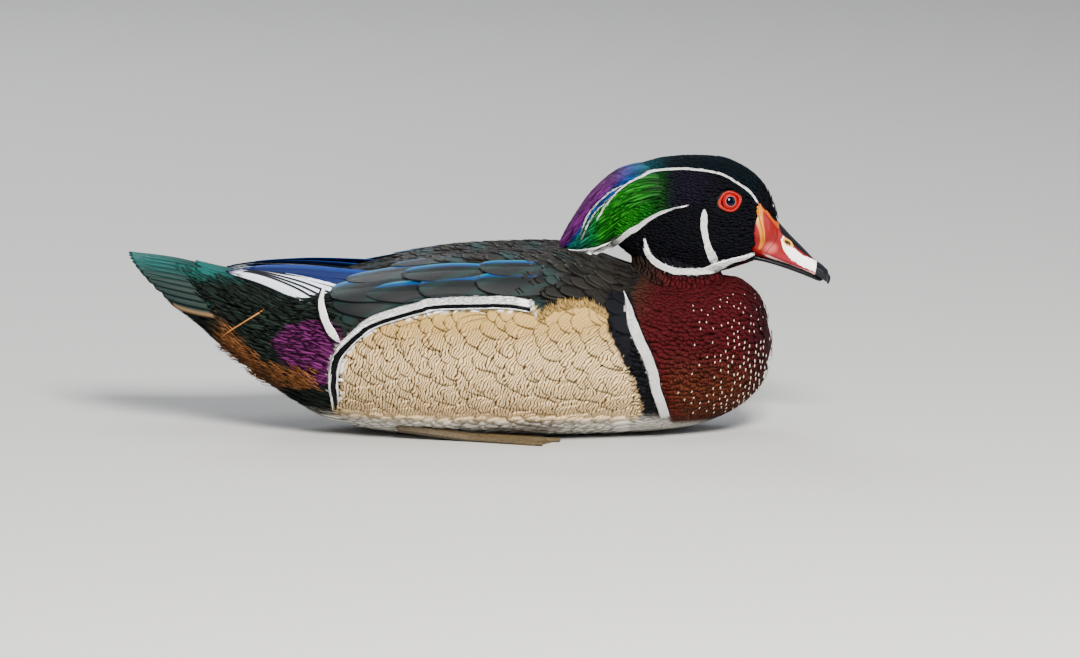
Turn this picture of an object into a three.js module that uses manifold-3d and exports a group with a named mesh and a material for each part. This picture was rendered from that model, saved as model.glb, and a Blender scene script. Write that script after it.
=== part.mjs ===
import * as THREE from 'three';
import { mergeVertices } from 'three/addons/utils/BufferGeometryUtils.js';
import Module from 'manifold-3d';

// A wood duck drake, life size, resting on its belly with its feet tucked under it.
// Millimetres. +X is forward, +Y is the bird's left, +Z is up, and the floor is z = 0.
// The bird is alike on both sides, so each side's pieces are made by one function.

const wasm = await Module();
wasm.setup();

// Driving dimensions
const HALF_LENGTH = 185; // from the middle of the bird to the bill's tip, and to the tail's
const BODY_HALF_WIDTH = 64;
const BACK_HEIGHT = 97;
const CROWN_HEIGHT = 146.6;
const BREAST_X = 155.1;
const GAP = 0.3; // between neighbouring pieces
const TAIL_CUT_X = -117; // where the tail leaves the torso
const EYE_PLACE = { x: 131.9, z: 124.5 };
const EYE_RADIUS = 5.6;
const EYE_OPENING = 4.7;
const LID_THICKNESS = 1.1;
const FEATHER_LIE = 1.1; // how far a feather's tip stands off what it lies on
const FEATHER_SINK = 0.4; // how far its root lies inside
const UNEVEN = 2; // how far tips in one row differ in reach

// How finely forms are split round their sections
const BODY_SIDES = 28;
const NECK_SIDES = 22;
const SKULL_SIDES = 22;
const BILL_SIDES = 18;
const LOWER_BILL_SIDES = 12;
const FOREHEAD_SIDES = 12;
const CREST_SIDES = 14;
const NAIL_SIDES = 8;
const ROD_SIDES = 6;

// Small steps for slopes by differences: a share of a form's length, an angle, a share of a blade
const PLACE_STEP = 0.01;
const ANGLE_STEP = 0.02;
const BLADE_STEP = 0.03;

const { PI, sin, cos, abs, sign, sqrt, min, max } = Math;
const clamp = (value, low, high) => min(max(value, low), high);
const mix = (a, b, t) => a + (b - a) * t;
const ease = t => t * t * (3 - 2 * t);

// A number from -1 to 1 for each pair of numbers: it looks random and is the same on every run.
function stray(a, b) {
  const wave = sin(a * 12.9898 + b * 78.233) * 43758.5453;
  return 2 * (wave - Math.floor(wave)) - 1;
}

// A smooth curve through rows of numbers, each row led by its place along the curve.
// Slopes are the weighted harmonic means of their neighbours, so the curve never overshoots.
function through(rows) {
  const steps = rows.slice(1).map((row, i) => row[0] - rows[i][0]);
  const grades = rows.slice(1).map((row, i) => row.map((v, k) => (v - rows[i][k]) / steps[i]));
  const slopes = rows.map((row, i) => row.map((v, k) => {
    if (i === 0) return grades[0][k];
    if (i === rows.length - 1) return grades[i - 1][k];
    const [a, b] = [grades[i - 1][k], grades[i][k]];
    const total = steps[i - 1] + steps[i];
    return a * b <= 0 ? 0 : 3 * total / ((total + steps[i]) / a + (total + steps[i - 1]) / b);
  }));
  return at => {
    let i = 0;
    while (i < steps.length - 1 && at > rows[i + 1][0]) i++;
    const t = clamp((at - rows[i][0]) / steps[i], 0, 1);
    const [t2, t3] = [t * t, t * t * t];
    return rows[i].map((v, k) => v * (2 * t3 - 3 * t2 + 1) + rows[i + 1][k] * (3 * t2 - 2 * t3)
      + steps[i] * (slopes[i][k] * (t3 - 2 * t2 + t) + slopes[i + 1][k] * (t3 - t2)));
  };
}

// A solid from points and triangles; one that comes out inside out is turned.
function solid(points, triangles) {
  const make = tris => new wasm.Manifold(new wasm.Mesh({
    numProp: 3,
    vertProperties: new Float32Array(points.flatMap(p => [p.x, p.y, p.z])),
    triVerts: new Uint32Array(tris.flat()),
  }));
  const made = make(triangles);
  return made.volume() > 0 ? made : make(triangles.map(([a, b, c]) => [a, c, b]));
}

// A three.js geometry as a solid.
function solidOf(geometry) {
  const bare = geometry.clone();
  bare.deleteAttribute('normal');
  bare.deleteAttribute('uv');
  const merged = mergeVertices(bare, 1e-4);
  const place = merged.getAttribute('position');
  const points = Array.from({ length: place.count }, (_, i) => new THREE.Vector3().fromBufferAttribute(place, i));
  const index = merged.index.array;
  const triangles = Array.from({ length: index.length / 3 }, (_, i) => [...index.slice(3 * i, 3 * i + 3)])
    .filter(([a, b, c]) => a !== b && b !== c && c !== a);
  return solid(points, triangles);
}

const joined = solids => wasm.Manifold.union(solids);

// What is left of a solid after cuts: its largest closed surface.
function largest(made) {
  const bodies = made.decompose();
  return bodies.reduce((best, body) => (body.volume() > best.volume() ? body : best));
}

// A closed skin over rings of points, with a point at each end where a ring holds only one.
function skinned(rings) {
  const points = rings.flat();
  const starts = [];
  rings.reduce((total, ring) => (starts.push(total), total + ring.length), 0);
  const triangles = [];
  rings.slice(1).forEach((ring, i) => {
    const [a, b] = [starts[i], starts[i + 1]];
    const [na, nb] = [rings[i].length, ring.length];
    const n = max(na, nb);
    for (let k = 0; k < n; k++) {
      const m = (k + 1) % n;
      if (na === 1) triangles.push([a, b + k, b + m]);
      else if (nb === 1) triangles.push([a + k, b, a + m]);
      else triangles.push([a + k, b + k, b + m], [a + k, b + m, a + m]);
    }
  });
  // A flat end is closed by a fan from its first point.
  const close = (start, count, turned) => {
    for (let k = 1; k < count - 1; k++) {
      triangles.push(turned ? [start, start + k + 1, start + k] : [start, start + k, start + k + 1]);
    }
  };
  close(starts[0], rings[0].length, false);
  close(starts[starts.length - 1], rings[rings.length - 1].length, true);
  return solid(points, triangles);
}

// A form about the bird's middle plane. Each station is
// [place, x, z of the widest point, reach above it, reach below it, half width, lean in degrees].
// A section is two half superellipses: |y / width|^power + |up / reach|^power = 1.
class Form {
  constructor(stations, { powerAbove = 2, powerBelow = 2 } = {}) {
    this.along = through(stations);
    this.first = stations[0][0];
    this.last = stations[stations.length - 1][0];
    this.powers = [powerAbove, powerBelow];
  }

  // The surface point at a place along the form and an angle from its top; side +1 is the bird's left.
  point(place, angle, side = 1) {
    const [, x, z, above, below, width, lean] = this.along(place);
    const top = cos(angle) >= 0;
    const power = this.powers[top ? 0 : 1];
    const up = (top ? above : below) * sign(cos(angle)) * abs(cos(angle)) ** (2 / power);
    const out = width * sign(sin(angle)) * abs(sin(angle)) ** (2 / power);
    const tilt = lean * PI / 180;
    return new THREE.Vector3(x - up * sin(tilt), side * out, z + up * cos(tilt));
  }

  normal(place, angle, side = 1) {
    const step = PLACE_STEP * (this.last - this.first);
    const [a, b] = [max(place - step, this.first), min(place + step, this.last)];
    const along = this.point(b, angle, side).sub(this.point(a, angle, side));
    const round = this.point(place, angle + ANGLE_STEP, side).sub(this.point(place, angle - ANGLE_STEP, side));
    const out = new THREE.Vector3().crossVectors(along, round).normalize();
    const [, x, z] = this.along(place);
    const away = this.point(place, angle, side).sub(new THREE.Vector3(x, 0, z));
    return out.dot(away) < 0 ? out.negate() : out;
  }

  lifted(place, angle, lift, side = 1) {
    return this.point(place, angle, side).addScaledVector(this.normal(place, angle, side), lift);
  }

  // The angle on the section at this place where the surface reaches a height.
  angleAtHeight(place, height) {
    const [, , z, above, below] = this.along(place);
    const share = clamp(height > z ? (height - z) / above : (z - height) / below, 0, 1);
    const c = share ** ((height > z ? this.powers[0] : this.powers[1]) / 2);
    return height > z ? Math.acos(c) : PI - Math.acos(c);
  }

  // The angle on the upper half of the section where the surface is this far from the middle plane.
  angleAtWidth(place, out) {
    const width = this.along(place)[5];
    return Math.asin(clamp(out / width, 0, 1) ** (this.powers[0] / 2));
  }

  solid(places, segments, lift = 0) {
    const rings = places.map((place, i) => {
      const [, x, z, above, below, width] = this.along(place);
      const end = i === 0 || i === places.length - 1;
      if (end && max(above + below, width) < 0.01) {
        const outwards = i === 0 ? -1 : 1;
        const way = sign(this.along(this.last)[1] - this.along(this.first)[1]);
        return [new THREE.Vector3(x + outwards * way * lift, 0, z)];
      }
      return Array.from({ length: segments }, (_, k) => {
        const angle = 2 * PI * k / segments;
        return lift ? this.lifted(place, angle, lift) : this.point(place, angle);
      });
    });
    return skinned(rings);
  }
}

const evenly = (from, to, steps) => Array.from({ length: steps + 1 }, (_, i) => mix(from, to, i / steps));

// A closed sheet between two surfaces given over the unit square, split alike on both.
function sheet(columns, rows, outer, inner) {
  const points = [];
  const index = (i, j, face) => (i * (rows + 1) + j) * 2 + face;
  for (let i = 0; i <= columns; i++) {
    for (let j = 0; j <= rows; j++) points.push(outer(i / columns, j / rows), inner(i / columns, j / rows));
  }
  const triangles = [];
  const quad = (a, b, c, d) => triangles.push([a, b, c], [a, c, d]);
  for (let i = 0; i < columns; i++) {
    for (let j = 0; j < rows; j++) {
      const corner = face => [index(i, j, face), index(i + 1, j, face), index(i + 1, j + 1, face), index(i, j + 1, face)];
      const [o, n] = [corner(0), corner(1)];
      quad(o[0], o[1], o[2], o[3]);
      triangles.push([n[0], n[2], n[1]], [n[0], n[3], n[2]]);
    }
  }
  for (let i = 0; i < columns; i++) {
    quad(index(i + 1, 0, 0), index(i, 0, 0), index(i, 0, 1), index(i + 1, 0, 1));
    quad(index(i, rows, 0), index(i + 1, rows, 0), index(i + 1, rows, 1), index(i, rows, 1));
  }
  for (let j = 0; j < rows; j++) {
    quad(index(0, j, 0), index(0, j + 1, 0), index(0, j + 1, 1), index(0, j, 1));
    quad(index(columns, j + 1, 0), index(columns, j, 0), index(columns, j, 1), index(columns, j + 1, 1));
  }
  return solid(points, triangles);
}

// One feather: a thin blade that follows at(u), from its root at u = 0 to its tip at u = 1.
// It narrows to the root, rounds off at the tip, and rises to a low ridge where it has a middle line.
function vane(at, { width, thick = 0.7, blunt = 4, stem = 0.5, steps = 6, across = 1, ridge = 0 }) {
  const rings = evenly(0, 1, steps).map(u => {
    const { point, out } = at(u);
    const along = at(min(u + BLADE_STEP, 1)).point.sub(at(max(u - BLADE_STEP, 0)).point).normalize();
    const aside = new THREE.Vector3().crossVectors(out, along).normalize();
    const swell = stem + (1 - stem) * sin(min(u / 0.55, 1) * PI / 2);
    const half = width / 2 * max(swell * sqrt(1 - u ** blunt), 0.1);
    return { point, out, aside, half, deep: thick / 2 * mix(1, 0.6, u) };
  });
  const face = way => (u, v) => {
    const { point, out, aside, half, deep } = rings[Math.round(u * steps)];
    const share = 2 * v - 1;
    return point.clone().addScaledVector(aside, share * half)
      .addScaledVector(out, way * deep + ridge * (1 - share * share));
  };
  return sheet(steps, across, face(1), face(-1));
}

// Stations by outline: [x, height of the widest point, top, bottom, half width].
const byOutline = rows => rows.map(([x, z, top, bottom, width]) => [x, x, z, top - z, z - bottom, width, 0]);

// The body from the tail's core to the breast.
const body = new Form(byOutline([
  [-170, 84, 84, 84, 0],
  [-164, 80, 90.3, 71, 13],
  [-150, 73, 87.6, 60, 21],
  [-135, 66, 84.2, 46.5, 27],
  [-121, 60, 81.5, 35, 32],
  [-100, 56, 80, 19.5, 39],
  [-80, 54, 82, 8.5, 46],
  [-60, 52.5, 86, 2.5, 53],
  [-40, 51, 90, 0, 58],
  [-15, 50, 94, -1, 62],
  [15, 50, 96, -1.2, BODY_HALF_WIDTH],
  [40, 50, BACK_HEIGHT, -1, 63],
  [60, 50, 93.5, -0.5, 60.5],
  [80, 49, 88, 0, 56.5],
  [100, 48, 83, 1.5, 50.5],
  [120, 47, 82.5, 5.5, 42],
  [135, 47, 81.5, 12, 33],
  [145, 47, 75.5, 20, 24],
  [151, 46.5, 67, 28, 15.5],
  [154, 46.5, 57, 36, 8],
  [BREAST_X, 46.5, 46.5, 46.5, 0],
]), { powerAbove: 2.3, powerBelow: 2.1 });
const BODY_PLACES = [
  body.first, ...evenly(-168, -120, 3), ...evenly(-104, 134, 14), 141, 147, 151, 153.5, 154.7, body.last,
];

// The skull, cheeks and throat, without the crest.
const skull = new Form(byOutline([
  [60, 120, 120, 120, 0],
  [62.5, 120, 125, 114, 4],
  [68, 118, 132.5, 106, 8.5],
  [76, 114, 138, 97, 13.5],
  [86, 110, 142.5, 90.5, 17.5],
  [98, 106, 145.6, 86, 20],
  [112, 104, CROWN_HEIGHT, 84, 21],
  [126, 105, 146, 85.5, 19.4],
  [138, 107, 141.7, 88.8, 16.4],
  [147, 108.5, 135, 92, 13],
  [153, 109, 127, 95.5, 10.4],
  [156.7, 109.5, 117.5, 100, 7],
  [158.3, 110, 112.5, 105, 3.5],
  [159, 110, 110, 110, 0],
]), { powerAbove: 2.1, powerBelow: 2.2 });

// The wedge of small feathers that runs down the middle of the forehead to the bill.
const forehead = new Form(byOutline([
  [136, 120, 120, 120, 0],
  [141, 120, 138.5, 110, 9],
  [147, 119, 134.4, 107, 8.4],
  [152, 116, 127.8, 106, 6.6],
  [156, 113, 119.4, 106.3, 4.4],
  [158, 110.8, 113, 107.2, 2.3],
  [159, 109.6, 109.6, 109.6, 0],
]));

// The neck's column: [height, middle x, half length, half width].
const NECK_LOW = 68;
const NECK_HIGH = 106;
const neckColumn = through([
  [NECK_LOW, 98, 40, 33],
  [76, 100, 33, 27],
  [83, 102, 26.5, 22],
  [90, 103, 22.5, 19],
  [97, 101, 22.5, 17.5],
  [NECK_HIGH, 98, 20, 15],
]);

// The crest's core, a hood whose own line runs back and down from the crown.
const crestCore = new Form([
  [0, 104, 128, 12, 4, 13, 10],
  [0.2, 94, 128, 15.5, 8, 17, 16],
  [0.4, 83, 125, 16.5, 12, 16, 28],
  [0.6, 71, 117.5, 15, 12.5, 13.3, 40],
  [0.8, 58.5, 106.5, 11, 10, 9.5, 48],
  [0.92, 49, 99, 6.2, 5, 5.6, 55],
  [1, 41.6, 95.3, 0, 0, 0, 60],
]);

const upperBill = new Form(byOutline([
  [140, 104, 104, 104, 0],
  [143, 104, 118.5, 95.5, 11],
  [147, 103, 121, 93.6, 12.7],
  [150, 101, 119.3, 92.9, 12.3],
  [154, 98.5, 115.3, 91.9, 11.2],
  [158, 96, 111.1, 90.9, 10.2],
  [164, 92.6, 104.4, 88.9, 9.1],
  [171, 89.6, 97.3, 86.1, 8.4],
  [177, 86.6, 91.2, 83.3, 7.9],
  [181, 84.4, 88.3, 81, 6.8],
  [183.6, 82.4, 86, 79.4, 4.4],
  [HALF_LENGTH, 82, 82, 82, 0],
]), { powerAbove: 2.6, powerBelow: 3.4 });

const lowerBill = new Form(byOutline([
  [138, 94, 94, 94, 0],
  [141, 94, 95.5, 91.6, 6.5],
  [148, 92.8, 95, 90.9, 9.3],
  [156, 90.5, 92.5, 88.8, 9],
  [166.7, 86.8, 89, 85, 7.8],
  [175.7, 83, 85, 81.3, 6.6],
  [180, 81, 82.5, 79.8, 4.2],
  [182, 80.7, 80.7, 80.7, 0],
]), { powerAbove: 2.6, powerBelow: 2.4 });

// The hooked nail at the bill's tip: [place, x, z, reach above, reach below, half width, lean].
const nail = new Form([
  [0, 175, 89.6, 0, 0, 0, 45],
  [0.2, 177.4, 89.2, 1.6, 1.6, 2.6, 45],
  [0.5, 181.4, 86.6, 1.9, 2.4, 3.4, 50],
  [0.75, 183.2, 82.8, 1.5, 2.2, 2.9, 75],
  [0.92, 184, 79.4, 0.8, 1.1, 1.6, 95],
  [1, 184.1, 77.8, 0, 0, 0, 100],
]);

function neckSolid(lift) {
  const heights = evenly(NECK_LOW - lift, NECK_HIGH + lift, 6);
  const rings = heights.map(height => {
    const [, x, long, wide] = neckColumn(height);
    return Array.from({ length: NECK_SIDES }, (_, k) => {
      const angle = 2 * PI * k / NECK_SIDES;
      return new THREE.Vector3(x + (long + lift) * cos(angle), (wide + lift) * sin(angle), height);
    });
  });
  return skinned(rings);
}

// Slabs for flat cuts: all that is below the floor, and all that is behind the torso.
const SLAB = 500;
const floorCut = solidOf(new THREE.BoxGeometry(SLAB, SLAB, SLAB).translate(0, 0, -SLAB / 2));
const behindCut = lift => solidOf(new THREE.BoxGeometry(SLAB, SLAB, SLAB).translate(TAIL_CUT_X + lift - SLAB / 2, 0, 0));
const bodySolid = lift => body.solid(BODY_PLACES, BODY_SIDES, lift);

// The eye's middle, set into the head so that its opening shows.
function eyeMiddle(side) {
  const angle = skull.angleAtHeight(EYE_PLACE.x, EYE_PLACE.z);
  const depth = sqrt(EYE_RADIUS ** 2 - EYE_OPENING ** 2);
  return skull.lifted(EYE_PLACE.x, angle, -depth, side);
}

const eyeSolid = (side, lift) => solidOf(
  new THREE.SphereGeometry(EYE_RADIUS + lift, 12, 8).translate(...eyeMiddle(side).toArray()));

// A soft ring of lid round the eye, facing the way that the head's side does.
function lidSolid(side) {
  const angle = skull.angleAtHeight(EYE_PLACE.x, EYE_PLACE.z);
  const facing = skull.normal(EYE_PLACE.x, angle, side);
  const turn = new THREE.Quaternion().setFromUnitVectors(new THREE.Vector3(0, 0, 1), facing);
  return solidOf(new THREE.TorusGeometry(EYE_RADIUS, LID_THICKNESS, 5, 14)
    .applyQuaternion(turn).translate(...skull.lifted(EYE_PLACE.x, angle, 0.1, side).toArray()));
}

const NOSTRIL = { x: 162.3, z: 99.9, long: 2.4, deep: 1.6, high: 1.1, slope: 40 };
function nostrilSolid(side) {
  const angle = upperBill.angleAtHeight(NOSTRIL.x, NOSTRIL.z);
  return solidOf(new THREE.SphereGeometry(1, 9, 6).scale(NOSTRIL.long, NOSTRIL.deep, NOSTRIL.high)
    .rotateY(NOSTRIL.slope * PI / 180).translate(...upperBill.point(NOSTRIL.x, angle, side).toArray()));
}

// The wing lies on the body's side. Its edges: [x, distance of the upper edge from the middle plane,
// height of the lower edge].
const WING_REAR = -78;
const WING_FRONT = 68;
const wingEdges = through([
  [WING_REAR, 9, 57],
  [-60, 5, 62],
  [-35, 3, 70],
  [0, 4, 73],
  [35, 12, 73],
  [55, 26, 76],
  [WING_FRONT, 36, 79],
]);
// A place on the folded wing, by its share of the way down from the upper edge to the lower.
function onWing(x, v, high, side) {
  const [, upper, lower] = wingEdges(x);
  const angle = mix(body.angleAtWidth(x, upper), body.angleAtHeight(x, lower), v);
  return { point: body.lifted(x, angle, high, side), out: body.normal(x, angle, side) };
}
const wingCrown = (x, v) => {
  const u = (x - WING_REAR) / (WING_FRONT - WING_REAR);
  return 0.9 + 2.2 * sqrt(max(0, sin(PI * clamp(u, 0.03, 0.97)) * sin(PI * clamp(v, 0.05, 0.95))));
};

// Tiers of feathers on the wing, from the shoulder back: the roots' x, the tips' x, how many,
// and the width and thickness of each.
const WING_TIERS = [
  { root: 66, tip: 36, count: 2, width: 26, thick: 0.7 },
  { root: 42, tip: 6, count: 3, width: 22, thick: 0.7 },
  { root: 12, tip: -32, count: 3, width: 25, thick: 0.8 },
  { root: -20, tip: -78, count: 4, width: 21, thick: 0.9 },
];
// The wing's own mass, raised by lift.
function wingCore(side, lift) {
  const place = (u, v, high) => onWing(mix(WING_REAR + 6, WING_FRONT, u), v, high, side).point;
  return sheet(9, 4, (u, v) => place(u, v, wingCrown(mix(WING_REAR + 6, WING_FRONT, u), v) + lift),
    (u, v) => place(u, v, -1));
}
function wingFeathers(side) {
  return WING_TIERS.flatMap(({ root, tip, count, width, thick }) => (
    Array.from({ length: count }, (_, i) => {
      const v = (i + 0.5) / count;
      const reach = tip + UNEVEN * stray(root, i);
      const at = u => {
        const x = mix(root, reach, u);
        const down = clamp(v + 0.05 * u, 0, 1);
        return onWing(x, down, wingCrown(x, down) + mix(-FEATHER_SINK, FEATHER_LIE, u), side);
      };
      return vane(at, { width, thick, blunt: 5, steps: 3 });
    })
  ));
}

// Fans of long blades from the folded hand, the primaries and the secondaries. Each fan runs from its
// top blade to its lowest, so it gives two roots, tips, facings and widths. Lower blades lie outside.
const BLADE_FANS = [
  { count: 6, roots: [[-52, 20, 87], [-52, 46, 66]], tips: [[-134, 9, 85.6], [-84, 36, 69]],
    facings: [[-0.12, 0.45, 0.9], [-0.12, 0.8, 0.6]], rise: 0, stack: 0.35, widths: [11, 9], blunt: 5, steps: 4 },
  { count: 3, roots: [[-44, 24, 88], [-44, 50, 64]], tips: [[-78, 21, 85], [-72, 51, 60]],
    facings: [[-0.1, 0.5, 0.85], [-0.1, 0.85, 0.5]], rise: 2.4, stack: 0.3, widths: [15, 15], blunt: 8, steps: 2 },
];
const BLADE_BOW = 2; // how far a blade bows out in its middle
const BLADE_THICKNESS = 0.9;
const between = ([a, b], share) => new THREE.Vector3(...a).lerp(new THREE.Vector3(...b), share);
function wingBlades(side) {
  return BLADE_FANS.flatMap(({ count, roots, tips, facings, rise, stack, widths, blunt, steps }) => (
    Array.from({ length: count }, (_, i) => {
      const share = i / (count - 1);
      const [root, tip, out] = [roots, tips, facings].map(ends => between(ends, share));
      const at = u => {
        const point = root.clone().lerp(tip, u).addScaledVector(out, rise + stack * i + BLADE_BOW * sin(PI * u));
        point.y *= side;
        return { point, out: new THREE.Vector3(out.x, out.y * side, out.z).normalize() };
      };
      return vane(at, { width: mix(...widths, share), thick: BLADE_THICKNESS, blunt, stem: 0.9, steps });
    })
  ));
}

// The folded hand, which the blades grow from: its upper and lower corners at the front and rear,
// and at the rear of the space that it needs out to the blades' tips.
const HAND = {
  front: [[-46, 20, 87], [-46, 50, 60]],
  rear: [[-84, 15, 86.5], [-84, 36, 70]],
  spaceRear: [[-136, 3, 87], [-136, 16, 83]],
  half: 1.4,
  bow: 1.5,
};
function wingHand(side, reach, lift) {
  const place = (u, v, high) => {
    const rear = between(HAND.rear, v).lerp(between(HAND.spaceRear, v), reach);
    const point = between(HAND.front, v).lerp(rear, u);
    const bow = HAND.bow * sin(PI * v);
    return new THREE.Vector3(point.x, side * (point.y + bow + high * 0.6), point.z + bow + high * 0.8);
  };
  return sheet(4, 3, (u, v) => place(u, v, HAND.half + lift), (u, v) => place(u, v, -HAND.half - lift));
}
const wingSolid = side => joined([wingCore(side, 0), ...wingFeathers(side), wingHand(side, 0, 0), ...wingBlades(side)]);
// The space that a wing needs, for cutting what lies against it.
const wingSpace = side => joined([wingCore(side, FEATHER_LIE + 1), wingHand(side, 1, 1 + HAND.half)]);

// The flank's edges: [x, height of the upper edge, height of the lower edge].
const FLANK_REAR = -78;
const FLANK_FRONT = 82;
const flankEdges = through([
  [FLANK_REAR, 36, 30],
  [-75, 47, 20],
  [-68, 58, 14],
  [-50, 70.6, 8],
  [-26, 78, 6],
  [0, 79.2, 5],
  [30, 78.6, 5],
  [53, 77, 7],
  [65, 71, 10],
  [74, 52, 16],
  [FLANK_FRONT, 34, 26],
]);
function onFlank(x, v, high, side) {
  const [, upper, lower] = flankEdges(x);
  const angle = mix(body.angleAtHeight(x, upper), body.angleAtHeight(x, lower), v);
  return { point: body.lifted(x, angle, high, side), out: body.normal(x, angle, side) };
}
const flankCrown = (x, v) => {
  const u = clamp((x - FLANK_REAR) / (FLANK_FRONT - FLANK_REAR), 0.02, 0.98);
  return 0.6 + 3 * sqrt(max(0, sin(PI * u))) * (1 - ease(clamp(v, 0, 1)));
};
// The long flank feathers overlap backwards, and the uppermost end in the row along the flank's edge.
const FLANK_TIERS = [
  { root: 66, tip: 32, count: 3, width: 21 },
  { root: 34, tip: -6, count: 3, width: 23 },
  { root: -2, tip: -42, count: 3, width: 23 },
  { root: -38, tip: -74, count: 3, width: 18 },
];
function flankCore(side, lift) {
  const place = (u, v, high) => (
    onFlank(mix(FLANK_REAR + 3 - lift, FLANK_FRONT + lift, u), mix(-0.02 * lift, 1 + 0.02 * lift, v), high, side).point);
  return sheet(12, 5,
    (u, v) => place(u, v, flankCrown(mix(FLANK_REAR + 3, FLANK_FRONT, u), v) + lift),
    (u, v) => place(u, v, -1 - lift));
}
function flankFeathers(side, grow) {
  return FLANK_TIERS.flatMap(({ root, tip, count, width }) => (
    Array.from({ length: count }, (_, i) => {
      const v = 0.1 + 0.62 * i / (count - 1);
      const reach = tip + UNEVEN * stray(root, i);
      const at = u => {
        const x = mix(root, reach, u);
        const down = clamp(v - 0.04 * u, 0.02, 1);
        return onFlank(x, down, flankCrown(x, down) + mix(-FEATHER_SINK, 0.9, u), side);
      };
      return vane(at, { width: width + 2 * grow, thick: 0.7 + 2 * grow, blunt: 4, steps: 3 });
    })
  ));
}
const flankSolid = side => joined([flankCore(side, 0), ...flankFeathers(side, 0)]);
const flankSpace = side => joined([flankCore(side, 2 * GAP), ...flankFeathers(side, GAP)]);

// The tail, a roof of feathers about the body's rear.
const TAIL_SPAN = 78 * PI / 180;
const tailLine = through([
  [-112, 80, 29],
  [-135, 84, 27],
  [-165, 90.6, 24],
  [-HALF_LENGTH, 93, 21],
]);
// A place on the tail's roof at an angle from its top; the roof drops away at its sides.
function onTail(x, turn, high) {
  const [, z, radius] = tailLine(x);
  const out = new THREE.Vector3(0, sin(turn), cos(turn));
  const foot = new THREE.Vector3(x, radius * sin(turn), z - 0.95 * radius * (1 - cos(turn)));
  return { point: foot.addScaledVector(out, high), out };
}
const tailTip = turn => -HALF_LENGTH + 26 * (abs(turn) / TAIL_SPAN) ** 2.4;
const RECTRICES = 8;
const RECTRIX = { root: -124, width: 13, sink: 2.4, lie: 0.6 };
const UPPER_COVERTS = { root: -118, tip: -143, sideways: 8, count: 4, width: 19, span: 0.8 };
// Under the tail, soft feathers lie back from the vent to its end, from the side round to below.
const UNDER_COVERTS = { root: -122, tips: [-166, -158], angles: [1.75, 2.75], count: 3, width: 14 };
function tailFeathers() {
  // The middle pair of tail feathers lies on top of the rest.
  const blades = Array.from({ length: RECTRICES }, (_, i) => {
    const turn = TAIL_SPAN * (2 * (i + 0.5) / RECTRICES - 1);
    const high = 1.2 * (1 - abs(turn) / TAIL_SPAN) + 0.3 * (i % 2);
    const at = u => onTail(mix(RECTRIX.root, tailTip(turn), u), turn * mix(0.85, 1, u),
      high + mix(-RECTRIX.sink, RECTRIX.lie, min(3 * u, 1)));
    return vane(at, { width: RECTRIX.width, thick: 0.8, blunt: 5, stem: 0.8, steps: 3 });
  });
  const coverts = Array.from({ length: UPPER_COVERTS.count }, (_, i) => {
    const { root, tip, sideways, count, width, span } = UPPER_COVERTS;
    const turn = TAIL_SPAN * span * (2 * (i + 0.5) / count - 1);
    const reach = tip + sideways * abs(turn) / TAIL_SPAN + 0.75 * UNEVEN * stray(root, i);
    return vane(u => onTail(mix(root, reach, u), turn, mix(0.4, 2.4, u)),
      { width, thick: BLADE_THICKNESS, blunt: 4, stem: 0.7, steps: 2 });
  });
  const under = [-1, 1].flatMap(side => Array.from({ length: UNDER_COVERTS.count }, (_, i) => {
    const { root, tips, angles, count, width } = UNDER_COVERTS;
    const share = i / (count - 1);
    const angle = mix(...angles, share);
    const at = u => {
      const x = mix(root, mix(...tips, share), u);
      return { point: body.lifted(x, angle, mix(-0.3, 1.3, u), side), out: body.normal(x, angle, side) };
    };
    return vane(at, { width, thick: BLADE_THICKNESS, blunt: 3, stem: 0.7, steps: 2 });
  }));
  return [...blades, ...coverts, ...under];
}

// A leg tucked under the belly: a shank and three webbed toes lying on the floor, and a small hind toe.
const ANKLE = [-42, 31, 7];
const TOE_ROOT = [-6, 38, 2.4];
const TOES = [[33, 28.5, 1.2], [42, 40, 1.2], [33, 52.5, 1.2]];
const HIND_TOE = [[-8, 36, 2], [-16, 29, 1]];
const WEB = { thick: 0.9, back: 3 };
function rod(from, to, thick, thin, side) {
  const a = new THREE.Vector3(from[0], side * from[1], from[2]);
  const b = new THREE.Vector3(to[0], side * to[1], to[2]);
  const length = a.distanceTo(b);
  const turn = new THREE.Quaternion().setFromUnitVectors(new THREE.Vector3(0, 1, 0), b.clone().sub(a).normalize());
  const profile = [[0, -thick], [thick, 0], [thin, length], [0, length + thin]].map(p => new THREE.Vector2(...p));
  return solidOf(new THREE.LatheGeometry(profile, ROD_SIDES).applyQuaternion(turn).translate(a.x, a.y, a.z));
}
function legSolid(side) {
  const toes = TOES.map(tip => rod(TOE_ROOT, tip, 2.2, 1.1, side));
  const shank = rod(ANKLE, TOE_ROOT, 3, 2.4, side);
  const hind = rod(...HIND_TOE, 1.3, 0.8, side);
  const outline = new THREE.Shape([
    new THREE.Vector2(TOE_ROOT[0], side * TOE_ROOT[1]),
    ...TOES.map(([x, y]) => new THREE.Vector2(x - WEB.back, side * y)),
  ]);
  const web = solidOf(new THREE.ExtrudeGeometry(outline, { depth: WEB.thick, bevelEnabled: false }));
  return joined([...toes, shank, hind, web]).subtract(floorCut);
}

const sides = [['right', -1], ['left', 1]];
const both = make => joined(sides.map(([, side]) => make(side)));
const skullSolid = lift => skull.solid([skull.first, ...evenly(61.5, 158.4, 15), skull.last], SKULL_SIDES, lift);
const browSolid = lift => forehead.solid([forehead.first, ...evenly(138, 158.4, 6), forehead.last], FOREHEAD_SIDES, lift);
const upperSolid = lift => joined([
  upperBill.solid([upperBill.first, ...evenly(142, 184.4, 11), upperBill.last], BILL_SIDES, lift),
  nail.solid([0, ...evenly(0.15, 0.94, 4), 1], NAIL_SIDES, lift),
]);
const lowerSolid = lift => (
  lowerBill.solid([lowerBill.first, ...evenly(140, 181.3, 7), lowerBill.last], LOWER_BILL_SIDES, lift));
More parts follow.
